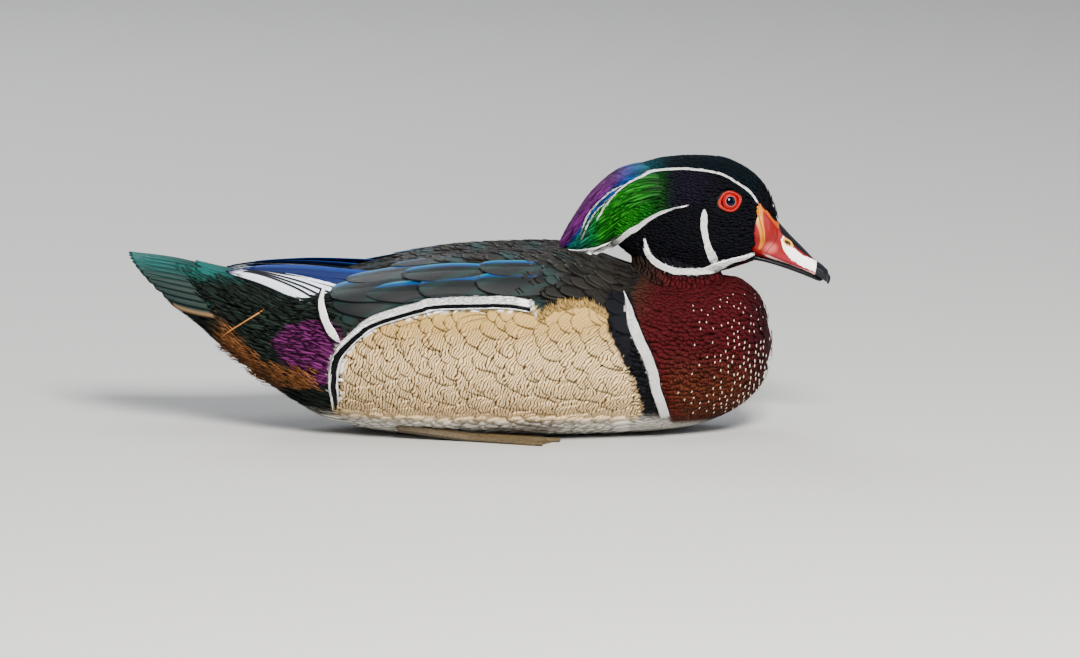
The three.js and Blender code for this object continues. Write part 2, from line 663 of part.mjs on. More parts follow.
// Long crest feathers, which leave the crown and sides of the head and sweep back to their tips.
const CREST_ROWS = [
  { angle: 0.16, tips: [0.6, 0.95], width: 9 },
  { angle: 0.75, tips: [0.46, 0.8], width: 10 },
  { angle: 1.3, tips: [0.6, 0.9], width: 10 },
  { angle: 1.85, tips: [0.54, 0.78], width: 9 },
  { angle: 2.4, tips: [0.72], width: 8 },
];
const crestCoreSolid = lift => crestCore.solid(evenly(0, 1, 8), CREST_SIDES, lift);
function crestFeathers() {
  return [-1, 1].flatMap(side => CREST_ROWS.flatMap(({ angle, tips, width }) => (
    tips.map((tip, i) => {
      const start = max(0.03, tip - 0.42);
      const at = u => {
        const place = mix(start, tip, u);
        const turn = angle * mix(1, 0.9, u);
        return { point: crestCore.lifted(place, turn, mix(-0.5, FEATHER_LIE, u), side),
          out: crestCore.normal(place, turn, side) };
      };
      return vane(at, { width: width - 1.2 * i, thick: 0.7, blunt: 2, stem: 0.6, steps: 3 });
    })
  )));
}

// Each node in turn: its solid, and the space that it takes from every node after it.
const nodes = [
  ['torso', () => bodySolid(0).subtract(joined([behindCut(0), floorCut])), () => bodySolid(GAP).subtract(behindCut(-GAP))],
  ['upper_bill', () => upperSolid(0).subtract(joined([browSolid(GAP), both(nostrilSolid)])), () => upperSolid(GAP)],
  ['lower_bill', () => lowerSolid(0), () => lowerSolid(GAP)],
  ...sides.map(([name, side]) => ['eye_' + name, () => eyeSolid(side, 0), () => eyeSolid(side, GAP)]),
  ['head', () => joined([skullSolid(0), both(lidSolid)]), () => joined([skullSolid(GAP), both(lidSolid)])],
  ['crest', () => joined([crestCoreSolid(0), ...crestFeathers()]), () => crestCoreSolid(FEATHER_LIE + 0.7)],
  ['neck', () => neckSolid(0), () => neckSolid(GAP)],
  ...sides.map(([name, side]) => ['flank_' + name, () => flankSolid(side), () => flankSpace(side)]),
  ...sides.map(([name, side]) => ['wing_' + name, () => wingSolid(side), () => wingSpace(side)]),
  ['tail', () => joined([bodySolid(0).intersect(behindCut(-GAP)), ...tailFeathers()]), () => bodySolid(GAP)],
  ...sides.map(([name, side]) => ['leg_' + name, () => legSolid(side), () => legSolid(side)]),
];

const finished = {};
let taken = null;
for (const [name, make, space] of nodes) {
  let made = taken ? make().subtract(taken) : make();
  if (name === 'head') made = made.add(browSolid(0).subtract(joined([lowerSolid(GAP), bodySolid(GAP)])));
  finished[name] = largest(made);
  taken = taken ? taken.add(space()) : space();
}

const looks = {
  torso: { color: 0x5a1f1c, roughness: 0.7 },
  neck: { color: 0x4a1a18, roughness: 0.7 },
  head: { color: 0x0b0d14, roughness: 0.5 },
  crest: { color: 0x0e5a2c, roughness: 0.4 },
  upper_bill: { color: 0xd8261c, roughness: 0.35 },
  lower_bill: { color: 0x141418, roughness: 0.4 },
  tail: { color: 0x14332e, roughness: 0.6 },
  eye: { color: 0xc8101a, roughness: 0.1 },
  flank: { color: 0xc9b07a, roughness: 0.7 },
  wing: { color: 0x1b3f63, roughness: 0.5 },
  leg: { color: 0xb08a2c, roughness: 0.6 },
};

const duck = new THREE.Group();
for (const [name, made] of Object.entries(finished)) {
  const mesh = made.getMesh();
  const geometry = new THREE.BufferGeometry();
  const places = new Float32Array(mesh.numVert * 3);
  for (let i = 0; i < mesh.numVert; i++) {
    places.set(mesh.vertProperties.subarray(i * mesh.numProp, i * mesh.numProp + 3), i * 3);
  }
  geometry.setAttribute('position', new THREE.BufferAttribute(places, 3));
  geometry.setIndex(new THREE.BufferAttribute(mesh.triVerts, 1));
  const look = looks[name] ?? looks[name.split('_')[0]];
  const piece = new THREE.Mesh(geometry, new THREE.MeshStandardMaterial({ metalness: 0, ...look }));
  piece.name = name;
  duck.add(piece);
}
export default duck;
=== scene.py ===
"""A wood duck drake at rest, dressed in feathers over its solid frame.

Every surface is worked out in millimetres, with +X towards the bill, +Y to the bird's left and +Z up,
and is put into a mesh in metres. Feathers are thin closed blades laid on the body's own curves.
"""

# %% [markdown]
# The frame comes first. It is the solid bird that the looks are built around.

# %% Load the frame
import math

import bpy
import numpy as np
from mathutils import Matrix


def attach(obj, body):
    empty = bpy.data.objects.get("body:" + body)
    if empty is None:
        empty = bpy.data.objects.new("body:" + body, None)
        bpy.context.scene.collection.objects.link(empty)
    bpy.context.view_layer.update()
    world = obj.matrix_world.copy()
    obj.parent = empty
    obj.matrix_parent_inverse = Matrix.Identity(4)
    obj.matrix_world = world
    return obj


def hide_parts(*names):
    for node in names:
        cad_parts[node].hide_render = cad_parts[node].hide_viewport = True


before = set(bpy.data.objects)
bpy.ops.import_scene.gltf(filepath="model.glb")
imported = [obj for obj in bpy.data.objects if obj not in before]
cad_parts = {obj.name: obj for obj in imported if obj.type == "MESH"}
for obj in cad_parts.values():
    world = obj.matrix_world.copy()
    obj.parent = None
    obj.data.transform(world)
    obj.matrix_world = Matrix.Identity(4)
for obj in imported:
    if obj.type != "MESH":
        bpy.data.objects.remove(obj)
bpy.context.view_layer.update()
scene = bpy.context.scene
METRES = 0.001
print("frame nodes:", len(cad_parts))

# %% [markdown]
# The bird is seen from its right side through a long lens, from a little above. A long lens has to
# stand far back, and how far follows from the width that the picture takes in.

# %% Camera
PICTURE_WIDTH = 0.5708
LOOK_AT = (0.032, 0.0, 0.054)
ABOVE = math.radians(9)
camera_data = bpy.data.cameras.new("camera")
camera_data.lens = 400
camera_data.sensor_width = 36
camera_data.clip_end = 60
camera = bpy.data.objects.new("camera", camera_data)
away = PICTURE_WIDTH * camera_data.lens / camera_data.sensor_width
camera.location = (LOOK_AT[0], -away * math.cos(ABOVE), LOOK_AT[2] + away * math.sin(ABOVE))
camera.rotation_euler = (math.pi / 2 - ABOVE, 0, 0)
scene.collection.objects.link(camera)
scene.camera = camera
print("camera stands", round(away, 2), "m away")

# %% [markdown]
# The stage is a pale floor under one strong soft lamp on the camera's side, a weak one in front of the
# bird, one behind it that draws a light edge along the back and crest, and a wide one above.

# %% Floor and lights
FLOOR_REACH = 9.0
FLOOR_TONE = (0.40, 0.40, 0.395)
MOTTLE = 0.97
SKY_TONE = (0.86, 0.9, 1, 1)
SKY_STRENGTH = 0.28


def new_finish(name, roughness):
    """A new material of a given roughness, with its nodes, its links and its shader."""
    made = bpy.data.materials.new(name)
    made.use_nodes = True
    nodes, links = made.node_tree.nodes, made.node_tree.links
    shader = nodes["Principled BSDF"]
    shader.inputs["Roughness"].default_value = roughness
    return made, nodes, links, shader


def object_noise(nodes, links, scale, detail=2):
    """Noise over Object coordinates, with scale as its number of lumps to the metre."""
    place = nodes.new("ShaderNodeTexCoord")
    noise = nodes.new("ShaderNodeTexNoise")
    noise.inputs["Scale"].default_value = scale
    noise.inputs["Detail"].default_value = detail
    links.new(place.outputs["Object"], noise.inputs["Vector"])
    return noise.outputs["Fac"]


def plain_finish(name, colour, roughness):
    """A material of one colour with a faint mottling."""
    made, nodes, links, shader = new_finish(name, roughness)
    ramp = nodes.new("ShaderNodeMix")
    ramp.data_type = "RGBA"
    ramp.inputs["A"].default_value = (*[MOTTLE * c for c in colour], 1)
    ramp.inputs["B"].default_value = (*colour, 1)
    links.new(object_noise(nodes, links, 6), ramp.inputs["Factor"])
    links.new(ramp.outputs["Result"], shader.inputs["Base Color"])
    return made


floor_mesh = bpy.data.meshes.new("floor")
corners = [(-1, -1), (1, -1), (1, 1), (-1, 1)]
floor_mesh.from_pydata([(FLOOR_REACH * x, FLOOR_REACH * y, 0) for x, y in corners], [], [(0, 1, 2, 3)])
floor = bpy.data.objects.new("floor", floor_mesh)
floor_mesh.materials.append(plain_finish("pale_floor", FLOOR_TONE, 0.85))
scene.collection.objects.link(floor)


def lamp(name, place, size, power, colour=(1, 1, 1)):
    """A square soft lamp that faces the bird."""
    data = bpy.data.lights.new(name, "AREA")
    data.size = size
    data.energy = power
    data.color = colour
    made = bpy.data.objects.new(name, data)
    made.location = place
    towards = -(made.location - floor.location)
    made.rotation_euler = towards.to_track_quat("-Z", "Y").to_euler()
    scene.collection.objects.link(made)


lamp("key", (0.35, -1.7, 1.35), 0.6, 165, (1, 0.97, 0.92))
lamp("front", (1.6, -0.5, 0.7), 0.9, 9, (0.9, 0.95, 1))
lamp("back", (-0.7, 1.5, 1.3), 0.9, 26, (0.95, 0.97, 1))
lamp("top", (0.0, 0.0, 2.2), 1.6, 20)
world = bpy.data.worlds.new("studio")
world.use_nodes = True
sky = world.node_tree.nodes["Background"]
sky.inputs["Color"].default_value = SKY_TONE
sky.inputs["Strength"].default_value = SKY_STRENGTH
scene.world = world
print("stage ready")

# %% [markdown]
# A bird's body is nearly round in section, and changes smoothly along its length. So each part is a
# row of stations. A curve that never overshoots runs through them, and each section is an upper and
# a lower half of a superellipse. The stations are the solid's own, except that the neck's lowest is a
# little wider and lies 2 mm deeper in the body.

# %% Smooth forms


def through(rows):
    """Returns a smooth curve through rows of numbers, each led by its place. Slopes are the weighted
    harmonic means of the grades on both sides, and zero at a peak, so no value overshoots."""
    rows = np.array(rows, float)
    if rows[0, 0] > rows[-1, 0]:
        rows = rows[::-1]
    knots, values = rows[:, 0], rows[:, 1:]
    steps = np.diff(knots)[:, None]
    grades = np.diff(values, axis=0) / steps
    slopes = np.zeros_like(values)
    slopes[0], slopes[-1] = grades[0], grades[-1]
    a, b = grades[:-1], grades[1:]
    total = steps[:-1] + steps[1:]
    with np.errstate(divide="ignore", invalid="ignore"):
        mean = 3 * total / ((total + steps[1:]) / a + (total + steps[:-1]) / b)
    slopes[1:-1] = np.where(a * b > 0, mean, 0)

    def curve(at):
        """Cubic pieces with the rows' values and slopes at both ends."""
        at = np.asarray(at, float)
        i = np.clip(np.searchsorted(knots, at, side="right") - 1, 0, len(knots) - 2)
        step = steps[i]
        t = np.clip((at - knots[i])[..., None] / step, 0, 1)
        rise = 3 * t**2 - 2 * t**3
        return (values[i] * (1 - rise) + values[i + 1] * rise
                + step * (slopes[i] * (t**3 - 2 * t**2 + t) + slopes[i + 1] * (t**3 - t**2)))

    return curve


def unit(v):
    """Scales each vector to length one."""
    return v / np.maximum(np.linalg.norm(v, axis=-1, keepdims=True), 1e-9)


class Form:
    """A closed form about the middle plane. A station is place, x, z of the widest point, reach above
    it, reach below it, half width, and lean in degrees. In a section
    |out / half width| ** power + |up / reach| ** power = 1, and the angle runs from 0 at the top to
    pi at the bottom, positive on the bird's left."""

    def __init__(self, rows, above=2.0, below=2.0, swell=None):
        """Above and below are the section's powers, and swell gives a lift for each point."""
        self.curve = through(rows)
        self.first, self.last = rows[0][0], rows[-1][0]
        self.above, self.below = above, below
        self.swell = swell
        self.way = 1.0 if rows[-1][6] == 90 else np.sign(rows[-1][1] - rows[0][1])

    def bare(self, place, angle):
        """The point at a place and an angle, without the form's own swelling."""
        x, z, above, below, width, lean = np.moveaxis(self.curve(place), -1, 0)
        c, s = np.cos(angle), np.sin(angle)
        power = np.where(c >= 0, self.above, self.below)
        up = np.where(c >= 0, above, below) * np.sign(c) * np.abs(c) ** (2 / power)
        out = width * np.sign(s) * np.abs(s) ** (2 / power)
        tilt = np.radians(lean)
        return np.stack([x - up * np.sin(tilt), out, z + up * np.cos(tilt)], -1)

    def slopes(self, place, angle):
        """The surface's change per unit of place and per radian, by central differences."""
        step = 0.005 * (self.last - self.first)
        a = np.clip(place - step, self.first, self.last)
        b = np.clip(place + step, self.first, self.last)
        along = (self.bare(b, angle) - self.bare(a, angle)) / np.maximum(b - a, 1e-6)[..., None]
        round_ = (self.bare(place, angle + 0.02) - self.bare(place, angle - 0.02)) / 0.04
        return along, round_

    def normal(self, place, angle):
        """The outward normal, square to both slopes."""
        along, round_ = self.slopes(place, angle)
        return unit(np.cross(along, round_)) * self.way

    def surface(self, place, angle, lift=0.0):
        """The point and outward normal, raised by lift and by the form's own swelling."""
        point, normal = self.bare(place, angle), self.normal(place, angle)
        if self.swell:
            lift = lift + self.swell(point)
        return point + normal * np.asarray(lift)[..., None], normal

    def holds(self, points, scale=1.0):
        """True for points inside the form."""
        rows = self.curve(np.linspace(self.first, self.last, 160))
        tilt = np.radians(rows[:, 5])
        away = points[..., None, [0, 2]] - rows[:, :2]
        off = np.abs(away[..., 0] * np.cos(tilt) + away[..., 1] * np.sin(tilt))
        nearest = np.argmin(off, -1)
        near = rows[nearest]
        tilt = np.radians(near[..., 5])
        up = (points[..., 2] - near[..., 1]) * np.cos(tilt) - (points[..., 0] - near[..., 0]) * np.sin(tilt)
        reach = np.maximum(np.where(up >= 0, near[..., 2], near[..., 3]), 0.1)
        power = np.where(up >= 0, self.above, self.below)
        wide = np.maximum(near[..., 4], 0.1)
        close = np.take_along_axis(off, nearest[..., None], -1)[..., 0] < 1.5
        return ((np.abs(points[..., 1]) / wide) ** power + (np.abs(up) / reach) ** power < scale) & close


def by_outline(rows):
    """Stations from x, height of the widest point, top, bottom and half width."""
    return [(x, x, z, top - z, z - bottom, width, 0) for x, z, top, bottom, width in rows]


# %% [markdown]
# The flanks and folded wings are thick pads of feathers. They swell the body's surface where they
# lie, most in the middle, and the flank's long feathers stand over the wing's lower edge.

# %% Stations of the bird
FLANK_EDGES = through([
    (-78, 36, 30), (-75, 47, 20), (-68, 58, 14), (-50, 70.6, 8), (-26, 78, 6), (0, 79.2, 5),
    (30, 78.6, 5), (53, 77, 7), (65, 71, 10), (74, 52, 16), (82, 34, 26),
])
WING_EDGES = through([
    (-78, 9, 57), (-60, 5, 62), (-35, 3, 70), (0, 4, 73), (35, 12, 73), (55, 26, 76), (68, 36, 79),
])


def ease(x, low, high):
    """Rises smoothly from 0 at low to 1 at high."""
    t = np.clip((x - low) / (high - low), 0, 1)
    return t * t * (3 - 2 * t)


def pads(point):
    """How far the flank and wing raise the body at each point, in millimetres."""
    x, y, z = np.moveaxis(point, -1, 0)
    upper, lower = np.moveaxis(FLANK_EDGES(x), -1, 0)
    across = np.clip((upper - z) / np.maximum(upper - lower, 1), 0, 1)
    middle = np.sqrt(np.clip(np.sin(np.pi * np.clip((x + 78) / 160, 0, 1)), 0, 1))
    flank = (0.9 + 3.0 * middle) * (1 - across**2) * ease(z, lower - 2, lower + 4)
    flank = flank * ease(z, upper + 1, upper - 3) * ease(x, -79, -75) * ease(x, 83, 76)
    inner, low = np.moveaxis(WING_EDGES(x), -1, 0)
    down = np.clip((np.abs(y) - inner) / np.maximum(55 - inner, 1), 0, 1)
    hump = np.sqrt(np.clip(np.sin(np.pi * np.clip((x + 78) / 146, 0, 1)), 0, 1))
    wing = 1.0 + 2.2 * hump * np.sin(np.pi * np.clip(down, 0.05, 0.95))
    wing = wing * ease(np.abs(y), inner - 2, inner + 3) * ease(z, low - 3, low)
    wing = wing * ease(x, -80, -74) * ease(x, 70, 62)
    return np.maximum(flank, wing)


body = Form(by_outline([
    (-170, 84, 84, 84, 0), (-164, 80, 90.3, 71, 13), (-150, 73, 87.6, 60, 21),
    (-135, 66, 84.2, 46.5, 27), (-121, 60, 81.5, 35, 32), (-100, 56, 80, 19.5, 39),
    (-80, 54, 82, 8.5, 46), (-60, 52.5, 86, 2.5, 53), (-40, 51, 90, 0, 58), (-15, 50, 94, -1, 62),
    (15, 50, 96, -1.2, 64), (40, 50, 97, -1, 63), (60, 50, 93.5, -0.5, 60.5), (80, 49, 88, 0, 56.5),
    (100, 48, 83, 1.5, 50.5), (120, 47, 82.5, 5.5, 42), (135, 47, 81.5, 12, 33),
    (145, 47, 75.5, 20, 24), (151, 46.5, 67, 28, 15.5), (154, 46.5, 57, 36, 8),
    (155.1, 46.5, 46.5, 46.5, 0),
]), above=2.3, below=2.1, swell=pads)
skull = Form(by_outline([
    (60, 120, 120, 120, 0), (62.5, 120, 125, 114, 4), (68, 118, 132.5, 106, 8.5),
    (76, 114, 138, 97, 13.5), (86, 110, 142.5, 90.5, 17.5), (98, 106, 145.6, 86, 20),
    (112, 104, 146.6, 84, 21), (126, 105, 146, 85.5, 19.4), (138, 107, 141.7, 88.8, 16.4),
    (147, 108.5, 135, 92, 13), (153, 109, 127, 95.5, 10.4), (156.7, 109.5, 117.5, 100, 7),
    (158.3, 110, 112.5, 105, 3.5), (159, 110, 110, 110, 0),
]), above=2.1, below=2.2)
forehead = Form(by_outline([
    (136, 120, 120, 120, 0), (141, 120, 138.5, 110, 9), (147, 119, 134.4, 107, 8.4),
    (152, 116, 127.8, 106, 6.6), (156, 113, 119.4, 106.3, 4.4), (158, 110.8, 113, 107.2, 2.3),
    (159, 109.6, 109.6, 109.6, 0),
]))
neck = Form([
    (66, 98, 66, 42, 42, 35, 90), (76, 100, 76, 33, 33, 27, 90), (83, 102, 83, 26.5, 26.5, 22, 90),
    (90, 103, 90, 22.5, 22.5, 19, 90), (97, 101, 97, 22.5, 22.5, 17.5, 90),
    (106, 98, 106, 20, 20, 15, 90),
])
crest = Form([
    (0, 104, 128, 12, 4, 13, 10), (0.2, 94, 128, 15.5, 8, 17, 16), (0.4, 83, 125, 16.5, 12, 16, 28),
    (0.6, 71, 117.5, 15, 12.5, 13.3, 40), (0.8, 58.5, 106.5, 11, 10, 9.5, 48),
    (0.92, 49, 99, 6.2, 5, 5.6, 55), (1, 41.6, 95.3, 0, 0, 0, 60),
])


LOBE_LIFT = 2.0


def lobes(point):
    """The bill's base spreads up over the face on both sides, and stands off it by up to 2 mm."""
    x, y, z = np.moveaxis(point, -1, 0)
    lift = LOBE_LIFT * ease(x, 157, 150) * ease(x, 141, 146) * ease(z, 100, 107) * ease(z, 124, 118)
    return lift * ease(np.abs(y), 1.5, 4)


upper_bill = Form(by_outline([
    (140, 104, 104, 104, 0), (143, 104, 118.5, 95.5, 11), (147, 103, 121, 93.6, 12.7),
    (150, 101, 119.3, 92.9, 12.3), (154, 98.5, 115.3, 91.9, 11.2), (158, 96, 111.1, 90.9, 10.2),
    (164, 92.6, 104.4, 88.9, 9.1), (171, 89.6, 97.3, 86.1, 8.4), (177, 86.6, 91.2, 83.3, 7.9),
    (181, 84.4, 88.3, 81, 6.8), (183.6, 82.4, 86, 79.4, 4.4), (185, 82, 82, 82, 0),
]), above=2.6, below=3.4, swell=lobes)
lower_bill = Form(by_outline([
    (138, 94, 94, 94, 0), (141, 94, 95.5, 91.6, 6.5), (148, 92.8, 95, 90.9, 9.3),
    (156, 90.5, 92.5, 88.8, 9), (166.7, 86.8, 89, 85, 7.8), (175.7, 83, 85, 81.3, 6.6),
    (180, 81, 82.5, 79.8, 4.2), (182, 80.7, 80.7, 80.7, 0),
]), above=2.6, below=2.4)
nail = Form([
    (0, 175, 89.6, 0, 0, 0, 45), (0.2, 177.4, 89.2, 1.6, 1.6, 2.6, 45),
    (0.5, 181.4, 86.6, 1.9, 2.4, 3.4, 50), (0.75, 183.2, 82.8, 1.5, 2.2, 2.9, 75),
    (0.92, 184, 79.4, 0.8, 1.1, 1.6, 95), (1, 184.1, 77.8, 0, 0, 0, 100),
])
print("forms: body, head, forehead, neck, crest, upper and lower bill, nail")

# %% [markdown]
# Markings are laid out as the side of the bird is seen, from a little above. Both sides are alike,
# so a point's side view is its x, and its height less a share of its distance from the middle plane.

# %% Side view of a point
VIEW_ZERO = 33.0
LEVEL, SLANT = math.cos(ABOVE), math.sin(ABOVE)


def side_view(points):
    """Where points show in the side view, s = x and t = LEVEL * (z - VIEW_ZERO) - SLANT * |y|."""
    return points[..., 0], LEVEL * (points[..., 2] - VIEW_ZERO) - SLANT * np.abs(points[..., 1])


def inside(s, t, outline):
    """True inside a closed outline: a ray from the point crosses it an odd number of times."""
    odd = np.zeros(np.shape(s), bool)
    for (s0, t0), (s1, t1) in zip(outline, outline[1:] + outline[:1]):
        if t0 != t1:
            odd ^= ((t0 > t) != (t1 > t)) & (s < s0 + (t - t0) * (s1 - s0) / (t1 - t0))
    return odd


def off_line(s, t, line):
    """The distance from a line through points, and the share of the way along it."""
    line = np.array(line, float)
    lengths = np.hypot(*np.diff(line, axis=0).T)
    starts = np.concatenate([[0], np.cumsum(lengths)])
    best, share = np.full(np.shape(s), 1e9), np.zeros(np.shape(s))
    for a, b, start, length in zip(line, line[1:], starts, lengths):
        along = np.clip(((s - a[0]) * (b[0] - a[0]) + (t - a[1]) * (b[1] - a[1])) / length**2, 0, 1)
        gap = np.hypot(s - a[0] - along * (b[0] - a[0]), t - a[1] - along * (b[1] - a[1]))
        share = np.where(gap < best, (start + along * length) / starts[-1], share)
        best = np.minimum(gap, best)
    return best, share


# %% [markdown]
# These are the drake's own marks, as lines and outlines in the side view: white lines over the eye
# and along the crest, a white throat with a prong up the cheek, black and white bars before the
# wing, a buff flank with a white and black edge, and a purple patch by the tail.

# %% Marks
BROW = [
    (146.7, 86.9), (143.5, 91.4), (137.2, 96.5), (126.9, 102.1), (118.1, 103.9), (107.5, 104.8),
    (98.8, 104.5), (92.2, 103.7), (86.9, 101.5), (80.5, 98.3), (75.1, 94.5), (70.8, 90.2), (67, 85.9),
    (64.2, 81.6),
]
BROW_OUTER = [
    (78.5, 97.3), (71.9, 94.2), (65.4, 89.3), (60, 83.9), (56.8, 79.1), (54.7, 74),
]
BROW_INNER = [(75.1, 94.5), (67.5, 88.1), (61.6, 82.2), (57.9, 76.6), (55.4, 71.5)]
CREST_STRIPE = [
    (110.2, 85.7), (103.2, 84.2), (96.7, 82.1), (90.2, 78.9), (84.8, 75.1), (79.4, 71.9), (74, 68.1),
    (67.5, 64.6), (61, 62.2), (53.5, 61.6), (47.5, 62.2),
]
THROAT = [
    (88, 64.9), (89.1, 61.1), (92.9, 56.2), (98.8, 52.6), (106.4, 50.8), (113.9, 50.8), (121.5, 52.2),
    (126.9, 54.3), (134.5, 57.3), (139.8, 58.7), (145.2, 60.5),
]
PRONG = [(118.3, 79.4), (118.3, 74), (119.1, 68.7), (120.7, 63.2), (123.7, 56.8)]
BAR = [
    (76, 39.8), (76.8, 37.5), (78, 33.5), (79.7, 26), (83, 16.6), (87.4, 7.1), (90.8, -2.3), (92, -8),
    (96, -20),
]
FLANK_TOP = [
    (-78, -12), (-78.3, -6.1), (-77.1, 3), (-74.3, 9.9), (-68.6, 16.8), (-60.5, 23.7), (-54.8, 27.1),
    (-41, 31.6), (-27.3, 35.1), (-20.4, 36.3), (-3.1, 36.8), (10.1, 36.9), (20.5, 36.2), (28, 35),
]
FLANK_FRONT = [
    (32.7, 27.4), (38.3, 31.2), (48.8, 34), (58.2, 34), (66.7, 28.4), (67.2, 20.8), (71.4, 11.4),
    (76.2, 2), (80.9, -6.6), (86, -20),
]
FLANK_OUTLINE = FLANK_TOP + FLANK_FRONT + [(70, -60), (-70, -60)]
PURPLE = [
    (-109.8, 13.3), (-100.7, 22.5), (-91.4, 24.8), (-81.1, 26), (-70, 18), (-74, -8), (-91.4, -9),
    (-102, 2),
]
TAIL_LOW = [
    (-184.8, 53.4), (-178.5, 46), (-167.1, 40.3), (-151.1, 31.7), (-136.2, 16.8), (-128.2, 6.4),
    (-112, -12),
]
EYE = (131.8, 87.7)
BILL_SIDE = [
    (146.9, 86.6), (146.0, 82.7), (147.1, 77.3), (148.5, 71.9), (148.8, 67), (147.4, 63.2), (145, 61.4),
    (150, 50), (190, 30), (190, 64), (158.5, 75.6), (152.2, 82.6),
]

# %% [markdown]
# Colour comes from place. Each feather asks for the tone under its own points, and the skin asks in
# the same way, so a gap between feathers never shows a wrong colour.

# %% Tones
BLACK = (0.0020, 0.0022, 0.0040)
WHITE = (0.90, 0.90, 0.89)
MAROON = (0.040, 0.0010, 0.0025)
CHESTNUT = (0.055, 0.0065, 0.0010)
MANTLE = (0.0095, 0.0080, 0.0065)
BUFF = (0.42, 0.27, 0.085)
PALE_BUFF = (0.80, 0.58, 0.32)
BELLY = (0.74, 0.70, 0.62)
RUMP = (0.0060, 0.0110, 0.0080)
PURPLE_TONE = (0.075, 0.0075, 0.058)
RUST = (0.170, 0.065, 0.020)
GREEN = (0.006, 0.140, 0.004)
TEAL = (0.0005, 0.060, 0.075)
BLUE = (0.0005, 0.022, 0.160)
VIOLET = (0.075, 0.006, 0.085)
# Painted sheen: the colour of the mantle's glints.
PAINTED_MANTLE_SHEEN = (0.008, 0.028, 0.028)
TURQUOISE_SHEEN = (0.003, 0.085, 0.070)
UNDER_TAIL = (0.05, 0.035, 0.025)
BREAST_FRONT = (0.014, 0.002, 0.004)
SHOULDER = (0.030, 0.010, 0.005)
CROWN = (0.0008, 0.0035, 0.0060)
TEMPLE = (0.006, 0.0045, 0.012)
NAPE = (0.014, 0.008, 0.005)
# Edges of fields in the side view. The first two give s at each t, and the others t at each s.
BREAST_EDGE = ([-30, -7.5, 0.1, 9.5, 19, 28.4, 34, 39, 46, 60],
               [101, 94.1, 93.1, 90.3, 85.6, 82.3, 80.9, 80, 84, 90])
BLACK_EDGE = ([-20, -6.6, 2, 11.4, 20.8, 28.4, 34, 40], [86, 80.9, 76.2, 71.4, 67.2, 66.7, 66, 68])
BROW_EDGE = ([42, 48, 54.7, 60, 67, 75, 87, 98.8, 118, 132, 146.7],
             [60.5, 65.5, 74, 82, 88, 95, 101.5, 104.5, 103.9, 99.6, 86.9])
STRIPE_EDGE = ([42, 61, 74, 84.8, 96.7, 110, 118], [61.6, 62.2, 68.1, 75.1, 82.1, 85.7, 88])
NECK_EDGE = ([80, 88, 93, 98.8, 106, 114, 121, 127, 140], [60, 58, 53, 49.5, 48, 48, 49, 51, 57])


def one_tone(points, colour):
    """One colour for every point."""
    return np.zeros(points.shape) + np.array(colour)


def paint(tone, colour, amount):
    """Mixes a colour, or a colour for each point, into a tone by an amount from 0 to 1."""
    return tone + (np.array(colour) - tone) * np.asarray(amount, float)[..., None]


def body_tone(points):
    """The tone of the body at points, and how strongly fine bars show there."""
    s, t = side_view(points)
    y, z = np.abs(points[..., 1]), points[..., 2]
    tone = one_tone(points, MANTLE)
    # Painted sheen: bronze-green glints laid in patches over the dark mantle.
    sheen = ease(np.sin(0.21 * s + 0.13 * t) * np.sin(0.17 * y + 0.3), 0.1, 0.9)
    tone = paint(tone, PAINTED_MANTLE_SHEEN, 0.7 * sheen * ease(s, 70, 20))
    # The rump and the feathers round the tail.
    tone = paint(tone, RUMP, ease(s, -66, -78))
    # Painted sheen: the rump's top turns turquoise towards the tail, as the tail's top does.
    tone = paint(tone, TURQUOISE_SHEEN, 0.8 * ease(s, -112, -145) * ease(t, 42, 56))
    tone = paint(tone, PURPLE_TONE, inside(s, t, PURPLE) & (s < -72))
    low, _ = off_line(s, t, TAIL_LOW)
    vent = 0.8 * ease(low, 10, 3) * ease(s, -145, -125) * ease(s, -80, -94)
    tone = paint(tone, RUST, vent)
    tone = paint(tone, UNDER_TAIL, ease(z, 30, 18) * ease(s, -112, -124))
    # The belly.
    tone = paint(tone, BELLY, ease(z, 17, 8) * ease(s, -108, -92) * ease(s, 128, 112))
    # The breast, darker at the front and rusty below.
    front = np.interp(t, *BREAST_EDGE)
    breast = ease(s, front - 0.8, front + 0.8) * ease(z, 5, 10)
    red = paint(one_tone(points, MAROON), CHESTNUT, 0.8 * ease(t, 8, -14))
    red = paint(red, BREAST_FRONT, 0.7 * ease(s, 134, 152))
    red = paint(red, SHOULDER, ease(s, front + 14, front) * ease(t, 20, 42))
    tone = paint(tone, red, breast)
    # The bars before the wing.
    rear = np.interp(t, *BLACK_EDGE)
    between = ease(s, rear - 0.6, rear + 0.6) * (s < front) * (t < 40) * ease(z, 10, 18)
    tone = paint(tone, BLACK, between)
    bar, share = off_line(s, t, BAR)
    bar_half = np.interp(share, [0, 0.12, 0.3, 1], [0, 0.6, 1.6, 1.6])
    tone = paint(tone, WHITE, (bar < bar_half) & (z > 10))
    # The flank.
    flank = inside(s, t, FLANK_OUTLINE) * ease(z, 9, 16)
    light = 0.75 * ease(t, 24, 2)
    buff = paint(one_tone(points, BUFF), PALE_BUFF, light)
    tone = paint(tone, buff, flank)
    edge, _ = off_line(s, t, FLANK_TOP)
    rim = flank * (s < 29)
    tone = paint(tone, WHITE, rim * (edge < np.interp(s, [-70, -30], [5.9, 6.7])))
    tone = paint(tone, BLACK, rim * (edge < np.interp(s, [-70, -30], [5.2, 6.1])))
    tone = paint(tone, WHITE, rim * (edge < np.interp(s, [-74, -60, -30], [1.6, 2.6, 3.9])))
    bars = flank * (edge > 6.5) * ease(z, 10, 20) * (1 - 0.7 * ease(t, 12, 30))
    breast_bars = 0.45 * breast * ease(s, front + 3, front + 9) * ease(t, 14, -6) * ease(s, 150, 130)
    return tone, np.maximum(bars, breast_bars)


